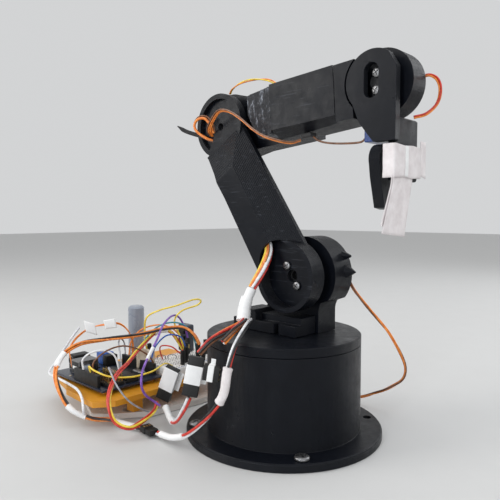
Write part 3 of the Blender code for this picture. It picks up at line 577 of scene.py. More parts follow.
ROUTES = {
    "bundle_upper": [(-11, -8, 133), (-7, -8.2, 126), (-5, -9.4, 119), (-5, -15, 109), (-8, -22, 97)],
    "lead_a": [(-8, -33, 75), (-9, -45, 72), (-11, -56, 67.5), (-14, -62.3, 60.4)],
    "lead_b": [(-5, -32, 78), (2, -44, 77), (6, -54, 75), (6, -61, 70.4)],
    "lead_a_low": [(-19, -66.6, 33), (-23, -67, 25), (-34, -64, 14), (-50, -56, 8), (-64, -50, 12)],
    "lead_low_1": [
        (-1, -31, 78), (8, -44, 78), (12, -58, 68), (12, -64, 55), (10, -65, 42), (3, -66, 31),
        (-8, -66, 20), (-20, -68, 10), (-33, -69, 5), (-49, -68, 3),
    ],
    "lead_low_2": [
        (-64, -70, 3), (-73, -73, 3), (-88, -78, 4), (-98, -87, 5), (-108, -97, 12), (-119, -99, 22),
        (-130, -96, 33), (-138, -86, 42), (-138, -72, 48), (-131, -54, 49), (-116, -36, 52),
        (-104, -20, 56),
        (-94, -10, 57), (-87, -5, 52), (-83.5, -2, 44),
    ],
    "lead_mid": [
        (-112, 6, 33), (-114, -6, 50), (-115, -20, 51), (-111, -36, 44), (-101, -54, 38), (-90, -72, 33),
        (-76, -87, 24), (-66, -90, 13), (-59, -83, 8), (-59, -72, 9.5), (-63, -61, 11.5), (-68, -54, 15),
    ],
    "lead_arc": [
        (-150, -72, 26), (-153, -72, 32), (-156, -71.6, 40), (-157, -66, 47), (-153, -60, 53),
        (-146, -55, 57),
        (-134, -51, 60), (-128, -45, 60.5), (-126, -39, 55), (-126, -34.6, 46), (-126, -33.7, 34),
    ],
    "lead_white": [
        (-152, -65, 57), (-159, -69, 47), (-167, -72, 36), (-170.5, -76, 28), (-167, -83, 22.6),
        (-154, -86, 22.8), (-134, -88, 23.4), (-112, -90, 23), (-98, -94, 21), (-92, -96.5, 17),
        (-93, -95.5, 12), (-96.5, -92, 9.8),
    ],
    "lead_purple": [
        (-61.5, -56.5, 15), (-64, -60, 18.5), (-64.5, -66, 24), (-63, -70, 30.5), (-66, -68, 36.5),
        (-71, -62, 42), (-79, -50, 49), (-86, -40, 54), (-97, -26, 61), (-104, -12, 65), (-108, -2, 62),
        (-109, 5, 52), (-109, 8, 42), (-109, 8, 30.2),
    ],
    "lead_yellow": [
        (-119, -22, 30.2), (-120, -26, 42), (-121, -26, 53), (-118, -26, 64), (-109, -20, 70),
        (-102, -10, 73),
        (-96, 3, 77), (-94, 9, 76), (-97, 8, 72), (-103, -3, 68), (-105, -9, 60), (-101, -6, 47),
        (-97, -3, 30.2),
    ],
    "elbow_ribbon": [
        (-63.2, -6.4, 201), (-60.5, -11.5, 205), (-51, -15, 212), (-43, -17, 215), (-33, -18, 213),
        (-22, -18.5, 207), (-12, -19, 200), (-1, -20, 194), (10, -20, 190), (18, -15.5, 188),
        (22.3, -11.3, 189.6),
    ],
    "forearm_lead": [
        (-60, 9, 233), (-56, 8, 236), (-46, 7, 238.5), (-31, 5, 238), (-17, 4, 235), (-9, 5, 230)
    ],
    "shoulder_lead": [
        (24, 31.5, 112), (28.5, 32, 104), (33, 33, 95), (38, 36, 87), (46, 41, 76), (53, 47, 64.5),
        (58, 52, 52),
        (59, 57, 41), (54, 63, 31), (43, 69, 22.5), (29, 73.5, 14), (13, 76, 6), (-6, 77.5, 1.5),
        (-26, 76, 1.4),
        (-45, 70, 1.5), (-60, 61, 3.6), (-70, 51.5, 10), (-77, 43.5, 20), (-83, 36, 32),
        (-87, 29.5, 37.5),
        (-90.5, 25, 30.8),
    ],
    "wrist_lead": [
        (86, 13.2, 219), (91, 14.6, 221.5), (96, 15.6, 219), (98.4, 15.4, 213), (97.2, 14.2, 205.5),
        (92, 12.4, 200), (86, 9.6, 198.2),
    ],
    "thin_wire": [
        (28.3, -6, 191.5), (33, -6.4, 188.6), (41, -6.8, 186.6), (52, -7, 185.4), (62, -7, 185.2),
        (65, -6.6, 187),
    ],
}

DIAMETER = {
    "bundle_upper": 5.6, "lead_a": 4.2, "lead_b": 4.2, "lead_a_low": 3.6, "lead_low_1": 3.4,
    "lead_low_2": 3.4,
    "lead_mid": 3.2, "lead_arc": 1.8, "lead_white": 1.8, "lead_purple": 1.6, "lead_yellow": 1.4,
    "elbow_ribbon": 3.2, "forearm_lead": 1.8, "shoulder_lead": 2.2, "wrist_lead": 2.2, "thin_wire": 1.2,
}

STRANDS = {
    "bundle_upper": ("green", "yellow", "brown", "orange", "red", "white", "orange"),
    "lead_a": ("orange", "brown", "black", "red", "orange"),
    "lead_b": ("white", "orange", "brown", "black", "red"),
    "lead_a_low": ("white", "black", "red"),
    "lead_low_1": ("red", "black", "white"),
    "lead_low_2": ("orange", "black", "orange"),
    "lead_mid": ("red", "yellow", "red"),
    "lead_arc": ("orange", "orange"),
    "lead_white": ("white",),
    "lead_purple": ("purple",),
    "lead_yellow": ("yellow",),
    "elbow_ribbon": ("orange", "orange", "brown"),
    "forearm_lead": ("orange", "yellow"),
    "shoulder_lead": ("orange", "orange", "brown"),
    "wrist_lead": ("orange", "orange", "red"),
    "thin_wire": ("brown",),
}

FLAT = ("elbow_ribbon",)

# The two bodies that a lead hangs between, and the points of its route between which it bends
CROSSING = {
    "bundle_upper": ("upper_arm", "waist", 1, -1),
    "lead_a": ("waist", "base", 0, -1),
    "lead_b": ("waist", "base", 0, -1),
    "lead_low_1": ("waist", "base", 0, 5),
    "shoulder_lead": ("waist", "base", 1, 9),
    "elbow_ribbon": ("upper_arm", "forearm", 1, -2),
    "thin_wire": ("forearm", "wrist", 1, -2),
    "wrist_lead": ("wrist", "hand", 1, -2),
}


def strand_offsets(name, diameter):
    """Where each strand runs across the lead, in millimetres from its middle, and the strands' radius."""
    count = len(STRANDS[name])
    if count == 1:
        return [(0, 0)], diameter / 2
    if name in FLAT:
        radius = diameter / count / 2
        return [((i - (count - 1) / 2) * radius * 2, 0) for i in range(count)], radius * 1.04
    if count == 2:
        return [(diameter / 4, 0), (-diameter / 4, 0)], diameter / 4
    outer = count if count < 6 else count - 1
    share = math.sin(math.pi / outer)
    radius = diameter / 2 * share / (1 + share)
    ring = diameter / 2 - radius
    turns = [2 * math.pi * i / outer for i in range(outer)]
    return [(0, 0)] * (count - outer) + [
        (ring * math.cos(a), ring * math.sin(a)) for a in turns], radius * 1.02


def wire_bundle(name, route=None):
    """The strands of one lead as one mesh, slowly laid round each other, and the line they follow."""
    diameter = DIAMETER[name]
    path = smooth_path(route or ROUTES[name], max(0.5 * diameter, 0.8) * MM)
    frames = transported(path)
    offsets, radius = strand_offsets(name, diameter)
    turn_each = 0 if name in FLAT else 2 * math.pi / (36 * diameter) * (
        length_of(path) / MM / (len(path) - 1))
    rng = random.Random(name)
    shape = Shape()
    for colour, (u, v) in zip(STRANDS[name], offsets):
        sway = rng.uniform(0, 6.28)
        line = []
        for i, (point, (across, up)) in enumerate(zip(path, frames)):
            a = turn_each * i
            swing = 0 if len(offsets) == 1 else 0.09 * diameter * math.sin(i * 0.13 + sway) * min(1, i / 4)
            x = u * math.cos(a) - v * math.sin(a) + swing * math.cos(sway)
            y = u * math.sin(a) + v * math.cos(a) + swing * math.sin(sway)
            line.append(point + (across * x + up * y) * MM)
        shape.tube(line, radius, colour, 8)
    return shape.piece(name + "_wires"), path


def lead(name, with_pieces=()):
    piece, path = wire_bundle(name)
    if name in CROSSING:
        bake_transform(piece)
    else:
        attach(piece, BODY[name])
    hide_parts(name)
    return path


def sleeve(name, lead_name, start, end, extra, look="sleeve", body=None):
    """A shrunk sleeve round a stretch of a lead, flared a little at its ends and dented between."""
    path = between(smooth_path(ROUTES[lead_name], 0.8 * MM), start, end)
    rng = random.Random(name)
    radius = DIAMETER[lead_name] / 2 + extra
    last = len(path) - 1
    radii = []
    for i in range(len(path)):
        flare = 0.25 * (math.exp(-i / 1.5) + math.exp(-(last - i) / 1.5))
        radii.append(radius * (1 + flare * 0.4 + rng.uniform(-0.03, 0.03)))
    shape = Shape()
    shape.tube(path, radii, look, 16)
    piece = shape.piece(name)
    if lead_name in CROSSING:
        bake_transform(piece)
    else:
        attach(piece, body or BODY[lead_name])
    return piece


LOOKS = make_looks()
camera()
studio()
floor()


# Connectors on the leads

def frame_of(node):
    """The middle of a block node and its own axes, longest last, found from its farthest corners."""
    mesh = NODES[node].data
    points = [v.co.copy() for v in mesh.vertices]
    centre = sum(points, Vector()) / len(points)
    normals = {}
    for polygon in mesh.polygons:
        key = tuple(round(abs(c), 2) for c in polygon.normal)
        area, first = normals.get(key, (0.0, polygon.normal.copy()))
        normals[key] = (area + polygon.area, first)
    axes = [normal for _, normal in sorted(normals.values(), key=lambda pair: -pair[0])[:3]]
    spans = []
    for axis in axes:
        reach = [(p - centre).dot(axis) for p in points]
        spans.append((max(reach) - min(reach), axis, (max(reach) + min(reach)) / 2))
    spans.sort(key=lambda span: span[0])
    middle = centre + sum((axis * offset for _, axis, offset in spans), Vector())
    (thin, z_thin, _), (wide, _, _), (long, z_long, _) = spans
    if z_long.z < 0:
        z_long = -z_long
    if z_thin.y > 0:
        z_thin = -z_thin
    side = z_thin.cross(z_long).normalized()
    matrix = Matrix.Translation(middle) @ Matrix((side, z_thin, z_long)).transposed().to_4x4()
    return matrix, wide / MM, thin / MM, long / MM


def housing_block(node, label=None):
    """A crimp housing: a grooved black shell with a paper label round it; label is its two ends as shares
    of the length from the middle."""
    matrix, wide, thin, long = frame_of(node)
    half, front = wide / 2, thin / 2
    shape = Shape()
    split = long * 0.5
    for low, high in ((-long / 2, -long / 2 + split - 0.25), (-long / 2 + split + 0.25, long / 2)):
        shape.block((-half, -front, low), (half, front, high), "socket", 0.35, matrix)
    # Painted shade: a dark block fills the split between the two halves of the shell.
    shape.block((-half + 0.3, -front + 0.3, -0.6), (half - 0.3, front - 0.3, 0.6), "pit", 0.1, matrix)
    ways = 3
    for i in range(1, ways):
        groove = wide * (i / ways - 0.5)
        low, high = (
            groove - 0.14, -front - 0.1, -long / 2 + 0.4
        ), (groove + 0.14, -front + 0.1, long / 2 - 0.4)
        shape.block(low, high, "matt", 0.04, matrix)
    for i in range(ways):
        x = wide * ((i + 0.5) / ways - 0.5)
        shape.block(
            (x - 0.5, -0.5, -long / 2 - 0.1), (x + 0.5, 0.5, -long / 2 + 0.3), "brass", 0.05, matrix
        )
    piece = shape.piece(node + "_shell")
    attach(piece, BODY[node])
    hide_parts(node)
    made = [piece]
    if label:
        band = Shape()
        low, high = label
        corner = (-half - 0.3, -front - 0.3, long * low)
        band.block(corner, (half + 0.3, front + 0.3, long * high), "sleeve", 0.5, matrix, 3)
        corner = (-half - 3.2, -front - 0.3, long * (low + 0.03))
        band.block(corner, (-half + 0.4, -front + 0.1, long * (high - 0.06)), "sleeve", 0.15, matrix)
        label_piece = band.piece(node + "_label")
        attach(label_piece, BODY[node])
        made.append(label_piece)
    return made


def small_plug(name, low, size, body, tilt=(0, 0), look="socket"):
    """A single jumper's plug standing in its hole: a black shell with a slot and its brass blade."""
    matrix = Matrix.Translation(Vector(low) * MM)
    matrix = matrix @ Matrix.Rotation(math.radians(tilt[0]), 4, "X") @ Matrix.Rotation(math.radians(tilt[1]),
        4, "Y")
    w, h = size
    shape = Shape()
    shape.block((-w / 2, -w / 2, 0.8), (w / 2, w / 2, h), look, 0.25, matrix)
    shape.block((-w / 2 - 0.03, -0.5, h * 0.4), (w / 2 + 0.03, 0.5, h * 0.62), "brass", 0.03, matrix)
    shape.block((-0.32, -0.32, -1.0), (0.32, 0.32, 1.2), "brass", 0.05, matrix)
    piece = shape.piece(name)
    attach(piece, body)
    return piece


def wrap_of_bundle():
    """The white tape wound round the bundle below the arm, wider and creased at the bottom."""
    path = smooth_path([(-8, -22.5, 96.5), (-9, -25, 91), (-9, -28, 84), (-7, -31.5, 77)], 0.5 * MM)
    last = len(path) - 1
    radii = []
    for i in range(len(path)):
        u = i / last
        crease = 0.12 * math.sin(u * 19) + 0.08 * math.sin(u * 47 + 1)
        radii.append(3.1 + 1.5 * u**1.5 + crease)
    shape = Shape()
    shape.tube(path, radii, "sleeve", 28)
    fold = [p + Vector((-3.4, -1.6, 0)) * MM for p in between(path, 0.25, 0.9)]
    shape.tube(fold, [0.9] * len(fold), "sleeve", 10)
    piece = shape.piece("bundle_tape", 50)
    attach(piece, BODY["bundle_wrap"])
    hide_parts("bundle_wrap")
    return piece


def low_connector():
    """The flat black plug and socket in the low run."""
    low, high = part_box("low_plug")
    shape = Shape()
    turn = Matrix.Translation((low + high) / 2) @ Matrix.Rotation(math.radians(-6), 4, "Z")
    shape.block((-6.5, -3.5, -2.1), (-0.3, 3.5, 2.1), "socket", 0.5, turn)
    shape.block((0.1, -3.2, -1.9), (6.4, 3.2, 1.9), "socket", 0.5, turn)
    shape.block((-1.2, -2.6, -1.4), (1.2, 2.6, 1.4), "matt", 0.2, turn)
    for y in (-2, 0, 2):
        shape.block((-4.6, y - 0.5, 1.9), (-2.0, y + 0.5, 2.15), "brass", 0.05, turn)
    piece = shape.piece("low_plug_shell")
    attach(piece, BODY["low_plug"])
    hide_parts("low_plug")
    return piece


def loose_leads():
    wrap = wrap_of_bundle()
    a = housing_block("connector_a", (-0.2, 0.28))
    b = housing_block("connector_b", (-0.16, 0.22))
    c = housing_block("connector_c", (-0.18, 0.48))
    plug = low_connector()
    lead("bundle_upper", [wrap, sleeve("sleeve_arch", "bundle_upper", 0.55, 0.86, -0.9)])
    lead("lead_a", a)
    lead("lead_b", b)
    lead("lead_a_low", [sleeve("sleeve_a_low", "lead_a_low", 0.66, 0.98, 0.35)])
    low_sleeves = [
        sleeve("tape_low_1", "lead_low_1", 0.34, 0.5, 1.0, "paper"),
        sleeve("sleeve_low_1", "lead_low_1", 0.8, 0.97, 0.35),
    ]
    lead("lead_low_1", [*low_sleeves, plug])
    loop_sleeves = [
        sleeve("sleeve_loop_1", "lead_low_2", 0.02, 0.1, 0.3),
        sleeve("sleeve_loop_2", "lead_low_2", 0.2, 0.27, 0.3),
        sleeve("sleeve_loop_3", "lead_low_2", 0.42, 0.48, 0.35),
        small_plug("plug_low_2", (-84.8, -2, 29.6), (2.8, 15), "base"),
    ]
    lead("lead_low_2", loop_sleeves)
    lead(
        "lead_mid",
        [
            *c, sleeve("sleeve_mid", "lead_mid", 0.14, 0.2, 0.3),
            small_plug("plug_mid", (-112, 6, 29.6), (3.4, 8), "base")
        ]
    )
    flags = [
        flag("flag_1", "lead_arc", 0.42, (9, 9), -0.3),
        flag("flag_2", "lead_arc", 0.62, (9, 7), 0.15)
    ]
    lead("lead_arc", flags)
    lead("lead_white")
    lead(
        "lead_purple",
        [
            small_plug("plug_purple", (-109, 8, 29.6), (2.6, 14), "base"),
            sleeve("sleeve_purple", "lead_purple", 0.3, 0.38, 0.4)
        ]
    )
    yellow_plugs = [
        small_plug("plug_yellow_1", (-119, -22.4, 29.6), (2.6, 13), "base", (4, 0)),
        small_plug("plug_yellow_2", (-97, -3, 29.6), (2.6, 14), "base", (2, -3)),
    ]
    lead("lead_yellow", yellow_plugs)
    lead("elbow_ribbon")
    lead("forearm_lead")
    lead("shoulder_lead", [small_plug("plug_shoulder", (-90.5, 24.6, 29.6), (2.8, 11), "base")])
    lead("wrist_lead")
    lead("thin_wire")


def flag(name, lead_name, share, size=(9, 9), slant=0.0):
    """A folded paper label on a lead, standing off to one side and curled a little."""
    path = smooth_path(ROUTES[lead_name], 0.8 * MM)
    at = path[round(share * (len(path) - 1))] / MM
    across = Vector((0.72, 0.69, slant)).normalized()
    up = Vector((-0.1, -0.15, 1)).normalized()
    out = across.cross(up)

    def place(u, v):
        curl = 0.9 * math.sin(u * 2.2 + v) + 0.5 * math.sin(v * 3)
        return at + across * (v - 0.5) * size[0] + up * (u - 0.45) * size[1] + out * (1.6 + curl * 0.4)

    return surface(name, place, 8, 8, 0.4, "sleeve", BODY[lead_name])


loose_leads()

# Printed shells and other nodes that keep their own shape

NODE_LOOKS = {
    "pla_base": ["base_housing", "turntable"],
    "pla_side": ["waist_bracket", "bracket_block", "wrist_housing", "hand_plate"],
    "pla_worn": ["upper_arm_link", "forearm_body"],
    "pla": ["gripper_plate", "left_jaw", "right_jaw"],
    "matt": ["shoulder_horn", "elbow_horn", "pitch_horn"],
    "servo": ["waist_servo_case", "shoulder_servo_case", "elbow_servo_case"],
    "servo_blue": ["roll_servo", "pitch_servo", "gripper_servo"],
    "tray": ["tray_plate"],
    "sheet": ["lower_sheet"],
    "socket": ["barrel_jack"],
    "steel": ["usb_socket"],
    "can": ["capacitor"],
    "board": ["sensor_module"],
        "blob": ["lead_tie"],
}
EDGE_WIDTH = {
    "pla_base": 0.5, "pla_side": 0.45, "pla_worn": 0.45, "pla": 0.4, "servo": 0.5,
    "servo_blue": 0.35
}


def dress_nodes():
    for look, names in NODE_LOOKS.items():
        for name in names:
            obj = NODES[name]
            obj.data.materials.clear()
            obj.data.materials.append(LOOKS[look])
            if look not in EDGE_WIDTH:
                continue
            obj.data.shade_smooth()
            weld = obj.modifiers.new("weld", "WELD")
            weld.merge_threshold = 0.01 * MM
            edges = obj.modifiers.new("edges", "BEVEL")
            edges.width = EDGE_WIDTH[look] * MM
            edges.segments = 2
            edges.limit_method = "ANGLE"
            edges.angle_limit = math.radians(32)
            crisp = obj.modifiers.new("crisp", "EDGE_SPLIT")
            crisp.split_angle = math.radians(10)


def stands_for(piece, node):
    """The piece rides where the node does and hides it."""
    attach(piece, BODY[node])
    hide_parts(node)
    return piece


# Screws

def screw_head(name, base, out, radius, height, body, node=None, turn_deg=20.0):
    """A pan head with a cross recess. base is the head's underside in millimetres, and out its direction."""
    profile = [(0, 0), (radius * 0.96, 0), (radius, 0.15 * height), (radius, 0.42 * height)]
    for step in range(1, 7):
        a = math.radians(15 * step)
        profile.append((radius * math.cos(a) if step < 6 else 0, height * (0.42 + 0.58 * math.sin(a))))
    shape = Shape()
    shape.turned(profile, "steel", sides=36)
    head = shape.piece(name)
    cross = Shape()
    arm, wide = radius * 0.62, radius * 0.2
    cross.block((-arm, -wide / 2, height * 0.35), (arm, wide / 2, height * 2), "steel", 0.02)
    cross.block((-wide / 2, -arm, height * 0.35), (wide / 2, arm, height * 2), "steel", 0.02)
    recess = cross.piece(name + "_recess")
    cutter = head.modifiers.new("recess", "BOOLEAN")
    cutter.operation = "DIFFERENCE"
    cutter.use_self = True
    cutter.object = recess
    bpy.context.view_layer.update()
    cut = bpy.data.meshes.new_from_object(head.evaluated_get(bpy.context.evaluated_depsgraph_get()))
    head.modifiers.clear()
    head.data = cut
    bpy.data.objects.remove(recess)
    towards = Vector(out).to_track_quat("Z", "Y").to_matrix().to_4x4()
    spin = Matrix.Rotation(math.radians(turn_deg), 4, "Z")
    head.data.transform(Matrix.Translation(Vector(base) * MM) @ towards @ spin)
    head.data.set_sharp_from_angle(angle=math.radians(35))
    if node:
        return stands_for(head, node)
    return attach(head, body)


def screws():
    for number in (1, 2):
        low, high = (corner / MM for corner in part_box(f"flange_screw_{number}"))
        centre = (low + high) / 2
        height = 2.6
        base = (centre.x, centre.y, high.z - height)
        node = f"flange_screw_{number}"
        screw_head(
            f"flange_head_{number}", base, (0, 0, 1), (high.x - low.x) / 2, height, None, node,
            15 + 40 * number
        )
    for group in ("shoulder_screw", "pitch_screw"):
        for number in (1, 2):
            node = f"{group}_{number}"
            low, high = (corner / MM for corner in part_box(node))
            centre = (low + high) / 2
            base = (centre.x, high.y, centre.z)
            radius = (high.z - low.z) / 2
            screw_head(
                f"{group}_head_{number}", base, (0, -1, 0), radius, high.y - low.y, None, node,
                30 * number
            )


# Servos: what shows at their backs

SERVO = {
    "long": 40.2, "wide": 19.8, "deep": 36.0, "from_end": 10.0, "front": 8.3, "lug": 7.1,
    "lug_t": 2.5
}


def servo_back(name, place, body, towards=1):
    """The bottom cover, its four long screws, the lug screws and the lead's grommet of a standard servo whose
    shaft runs along Y. towards is 1 where the case reaches to +X from the shaft, and -1 to -X."""
    side = SERVO["wide"] / 2
    near, far = -SERVO["from_end"] * towards, (SERVO["long"] - SERVO["from_end"]) * towards
    low_x, high_x = min(near, far), max(near, far)
    front = SERVO["front"] if name == "elbow" else SERVO["front"] + 1.5
    back = front + SERVO["deep"]
    shape = Shape()
    shape.block(
        (low_x - 0.15, back - 6.2, -side - 0.15), (high_x + 0.15, back - 0.2, side + 0.15), "servo",
        1.0, place, 3
    )
    shape.block(
        (low_x - 0.1, back - 14, -side - 0.1), (high_x + 0.1, back - 13.2, side + 0.1), "matt", 0.2,
        place
    )
    for x in (low_x + 2.6, high_x - 2.6):
        for z in (-side + 2.6, side - 2.6):
            turn = place @ Matrix.Translation(Vector((x, back - 0.5, z)) * MM) @ Matrix.Rotation(
                math.radians(-90),
                4, "X")
            shape.turned(
                [(0, 0), (1.5, 0), (1.5, 0.5), (1.2, 0.75), (0.5, 0.75), (0.5, 0.3), (0, 0.3)],
                "steel", turn, 20
            )
    piece = shape.piece(name + "_servo_cover")
    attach(piece, body)
    lug_y = (24.0 if name == "elbow" else 26.5) + 0.3 + SERVO["lug_t"]
    screws_shape = Shape()
    for x in (low_x - SERVO["lug"] / 2 - 0.2, high_x + SERVO["lug"] / 2 + 0.2):
        for z in (-5, 5):
            turn = place @ Matrix.Translation(Vector((x, lug_y - 0.02, z)) * MM) @ Matrix.Rotation(
                math.radians(-90),
                4, "X")
            washer = [
                (0, 0), (3.1, 0), (3.1, 0.6), (2.5, 0.6), (2.4, 1.4), (1.7, 2.0), (0.6, 2.2),
                (0.6, 1.2), (0, 1.2)
            ]
            screws_shape.turned(washer, "steel", turn, 24)
    lug_piece = screws_shape.piece(name + "_lug_screws")
    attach(lug_piece, body)
    grommet = Shape()
    x = low_x if towards < 0 else high_x
    turn = place @ Matrix.Translation(Vector((x, back - 9.5, 0)) * MM) @ Matrix.Rotation(
        math.radians(90 * towards),
        4, "Y")
    grommet.turned(
        [(0, -0.4), (2.6, -0.4), (2.6, 0.5), (2.1, 0.9), (2.0, 1.6), (2.3, 1.9), (1.9, 2.6), (0, 2.6)],
        "matt", turn, 24
    )
    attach(grommet.piece(name + "_grommet"), body)


# Tray electronics

def controller_board():
    low, high = (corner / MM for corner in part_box("controller_board"))
    top = low.z + 1.6
    shape = Shape()
    shape.block((low.x, low.y, low.z), (high.x, high.y, top), "board", 0.25)
    for x0, x1, y0, y1 in ((-140, -98, -35, -32.4), (-132, -100, -81, -78.4)):
        shape.block((x0, y0, top - 0.2), (x1, y1, top + 8.5), "socket", 0.25)
        count = int((x1 - x0) / 2.54)
        for i in range(count):
            x = x0 + (i + 0.5) * (x1 - x0) / count
            middle = (y0 + y1) / 2
            # Painted shade: a dark square on top of each socket stands for its hole.
            shape.block(
                (x - 0.5, middle - 0.5, top + 8.3), (x + 0.5, middle + 0.5, top + 8.56), "pit", 0.05
            )
    piece = stands_for(shape.piece("board_and_sockets"), "controller_board")
    rng = random.Random(7)
    parts = Shape()
    parts.block((-128, -60, top), (-94.5, -50.5, top + 4.2), "socket", 0.5)
    for i in range(14):
        x = -127 + i * 2.4
        for y in (-61.2, -49.3):
            parts.block((x - 0.3, y - 0.9, top), (x + 0.3, y + 0.9, top + 1.4), "steel", 0.08)
    parts.block((-124, -45, top), (-114, -38, top + 1.2), "matt", 0.2)
    parts.block((-112, -44.5, top), (-101, -39.5, top + 3.6), "steel", 1.2, segments=3)
    turn = Matrix.Translation(Vector((-134.5, -70, top)) * MM)
    can_profile = [
        (0, 0), (3.3, 0), (3.3, 0.8), (3.0, 1.1), (3.3, 1.5), (3.3, 7.2), (2.9, 7.7), (1.2, 7.6),
        (0, 7.5)
    ]
    parts.turned(can_profile, "can", turn, 24)
    for row_y in (-74.5, -66.5, -64.0):
        for i in range(9):
            x = -116 + i * 2.54
            parts.block((x - 1.2, row_y - 1.2, top), (x + 1.2, row_y + 1.2, top + 2.5), "socket", 0.15)
            parts.block(
                (x - 0.32, row_y - 0.32, top + 2.2), (x + 0.32, row_y + 0.32, top + 8.6), "brass",
                0.1
            )
    for _ in range(34):
        x, y = rng.uniform(-158, -95), rng.uniform(-80, -34)
        w, d = rng.choice([(1.6, 0.9), (0.9, 1.6), (2.2, 1.4)])
        parts.block((x, y, top), (x + w, y + d, top + 0.6), rng.choice(["socket", "steel", "tag"]), 0.12)
    parts.block((-160, -46, top), (-150, -36, top + 9), "blue", 0.5)
    parts.block((-149, -47, top), (-143, -37, top + 8.4), "socket", 0.5)
    parts.block((-135, -76, top), (-133, -62, top + 7.5), "matt", 0.2)
    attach(parts.piece("board_parts"), "base")
    rim = Shape()
    jack_low, jack_high = (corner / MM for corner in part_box("barrel_jack"))
    centre = Vector(((jack_low.x + jack_high.x) / 2, jack_low.y, jack_low.z + 6.6))
    turn = Matrix.Translation(centre * MM) @ Matrix.Rotation(math.radians(90), 4, "X")
    rim.turned([(3.0, -6), (3.05, 0.2), (3.9, 0.35), (3.3, 0.35)], "steel", turn, 28)
    rim.turned([(0, -7.8), (1.0, -7.8), (1.0, -1.2), (0.6, -0.6), (0, -0.5)], "steel", turn, 16)
    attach(rim.piece("jack_contacts"), "base")
    port_low, port_high = (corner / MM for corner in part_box("usb_socket"))
    port = Shape()
    # Painted shade: a thin dark slab across the socket's front stands for its open mouth.
    port.block(
        (port_low.x + 1, port_low.y - 0.1, port_low.z + 1),
        (port_high.x - 1, port_low.y + 0.3, port_high.z - 1), "pit", 0.2
    )
    port.block(
        (port_low.x + 2.2, port_low.y - 0.2, port_low.z + 4),
        (port_high.x - 2.2, port_low.y + 0.2, port_low.z + 6.2), "nylon", 0.1
    )
    for z in (port_low.z + 2.6, port_high.z - 2.6):
        port.block(
            (port_low.x - 0.12, port_low.y + 4, z - 0.8),
            (port_high.x + 0.12, port_low.y + 8, z + 0.8), "steel", 0.2
        )
    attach(port.piece("port_mouth"), "base")


def breadboard():
    """The white breadboard: rows of square sockets either side of a trough, and two supply strips."""
    low, high = (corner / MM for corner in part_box("breadboard"))
    pitch, hole, depth = 2.54, 0.55, 2.2
    shape = Shape()
    shape.block(low, (high.x, high.y, high.z - 0.35), "breadboard", 0.6)
    rows = int((high.y - low.y - 2) / pitch)
    start_y = (low.y + high.y - rows * pitch) / 2
    columns = int((high.x - low.x - 2) / pitch)
    start_x = (low.x + high.x - columns * pitch) / 2
    bm = shape.bm
    before = set(bm.faces)
    pits = []
    for i in range(columns):
        trough = i in (2, 11) or i == columns // 2
        for j in range(rows):
            x0, y0 = start_x + i * pitch, start_y + j * pitch
            corners = [(x0, y0), (x0 + pitch, y0), (x0 + pitch, y0 + pitch), (x0, y0 + pitch)]
            outer = [bm.verts.new(Vector((x, y, high.z)) * MM) for x, y in corners]
            if trough:
                bm.faces.new(outer)
                continue
            cx, cy = x0 + pitch / 2, y0 + pitch / 2
            signs = ((-1, -1), (1, -1), (1, 1), (-1, 1))
            mouth = [bm.verts.new(Vector((cx + a * hole, cy + b * hole, high.z)) * MM) for a, b in signs]
            deep = [
                bm.verts.new(Vector((cx + a * 0.35, cy + b * 0.35, high.z - depth)) * MM) for a,
                b in signs
            ]
            for k in range(4):
                n = (k + 1) % 4
                bm.faces.new((outer[k], outer[n], mouth[n], mouth[k]))
                pits.append(bm.faces.new((mouth[k], mouth[n], deep[n], deep[k])))
            pits.append(bm.faces.new(deep))
    top_faces = [face for face in bm.faces if face not in before]
    shape._finish(top_faces, "breadboard")
    # Painted shade: the walls and floor of every hole are coloured dark.
    shape._finish(pits, "pit")
    bmesh.ops.remove_doubles(
        bm, verts=list(dict.fromkeys(v for f in top_faces for v in f.verts)), dist=1e-6
    )
    x_edge, y_edge = start_x + columns * pitch, start_y + rows * pitch
    for a, b in (((low.x + 0.4, low.y + 0.4), (start_x, high.y - 0.4)),
                 ((x_edge, low.y + 0.4), (high.x - 0.4, high.y - 0.4)),
                 (
                     (start_x, low.y + 0.4), (x_edge, start_y)
                 ), ((start_x, y_edge), (x_edge, high.y - 0.4))):
        shape.block((*a, high.z - 1.2), (*b, high.z), "breadboard", 0.05)
    for x, colour in ((start_x + 0.15, "red"), (x_edge - 0.15, "blue")):
        shape.block(
            (x - 0.25, low.y + 3, high.z - 0.1), (x + 0.25, high.y - 3, high.z + 0.04), colour, 0.02
        )
    stands_for(shape.piece("breadboard_holes"), "breadboard")
    extras = Shape()
    for x, y in ((-117, -17), (-112, -10), (-106, 14), (-100, 10), (-95, 4), (-91, 16)):
        extras.tube(
            smooth_path(
                [
                    (x, y, 28), (x, y, 31.5), (x + 2.6, y + 2, 32.6), (x + 5, y + 4, 31.5),
                    (x + 5, y + 4, 28)
                ],
                0.6 * MM
            ),
            0.35, "steel", 8
        )
    for x, y, h, colour in (
        (-89, -14, 11, "socket"), (-92.5, -8, 12, "socket"), (-88, 6, 10, "socket"),
        (-101, 20, 12, "socket")
    ):
        extras.block((x - 1.3, y - 1.3, 29.4), (x + 1.3, y + 1.3, 29.4 + h), colour, 0.25)
        extras.block((x - 0.3, y - 0.3, 28), (x + 0.3, y + 0.3, 29.6), "brass", 0.05)
    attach(extras.piece("breadboard_jumpers"), "base")
    module = Shape()
    m_low, m_high = (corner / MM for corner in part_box("sensor_module"))
    for z in (m_low.z + 4, m_low.z + 10, m_low.z + 15):
        module.block(
            (m_low.x + 2, m_low.y - 1.2, z), (m_high.x - 3, m_low.y + 0.2, z + 3.4), "socket", 0.3
        )
    for i in range(4):
        x = m_low.x + 2.2 + i * 2.54
        module.block(
            (x - 0.3, m_low.y + 3.5, m_low.z - 1.4), (x + 0.3, m_low.y + 4.1, m_low.z + 1), "brass",
            0.05
        )
    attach(module.piece("module_parts"), "base")


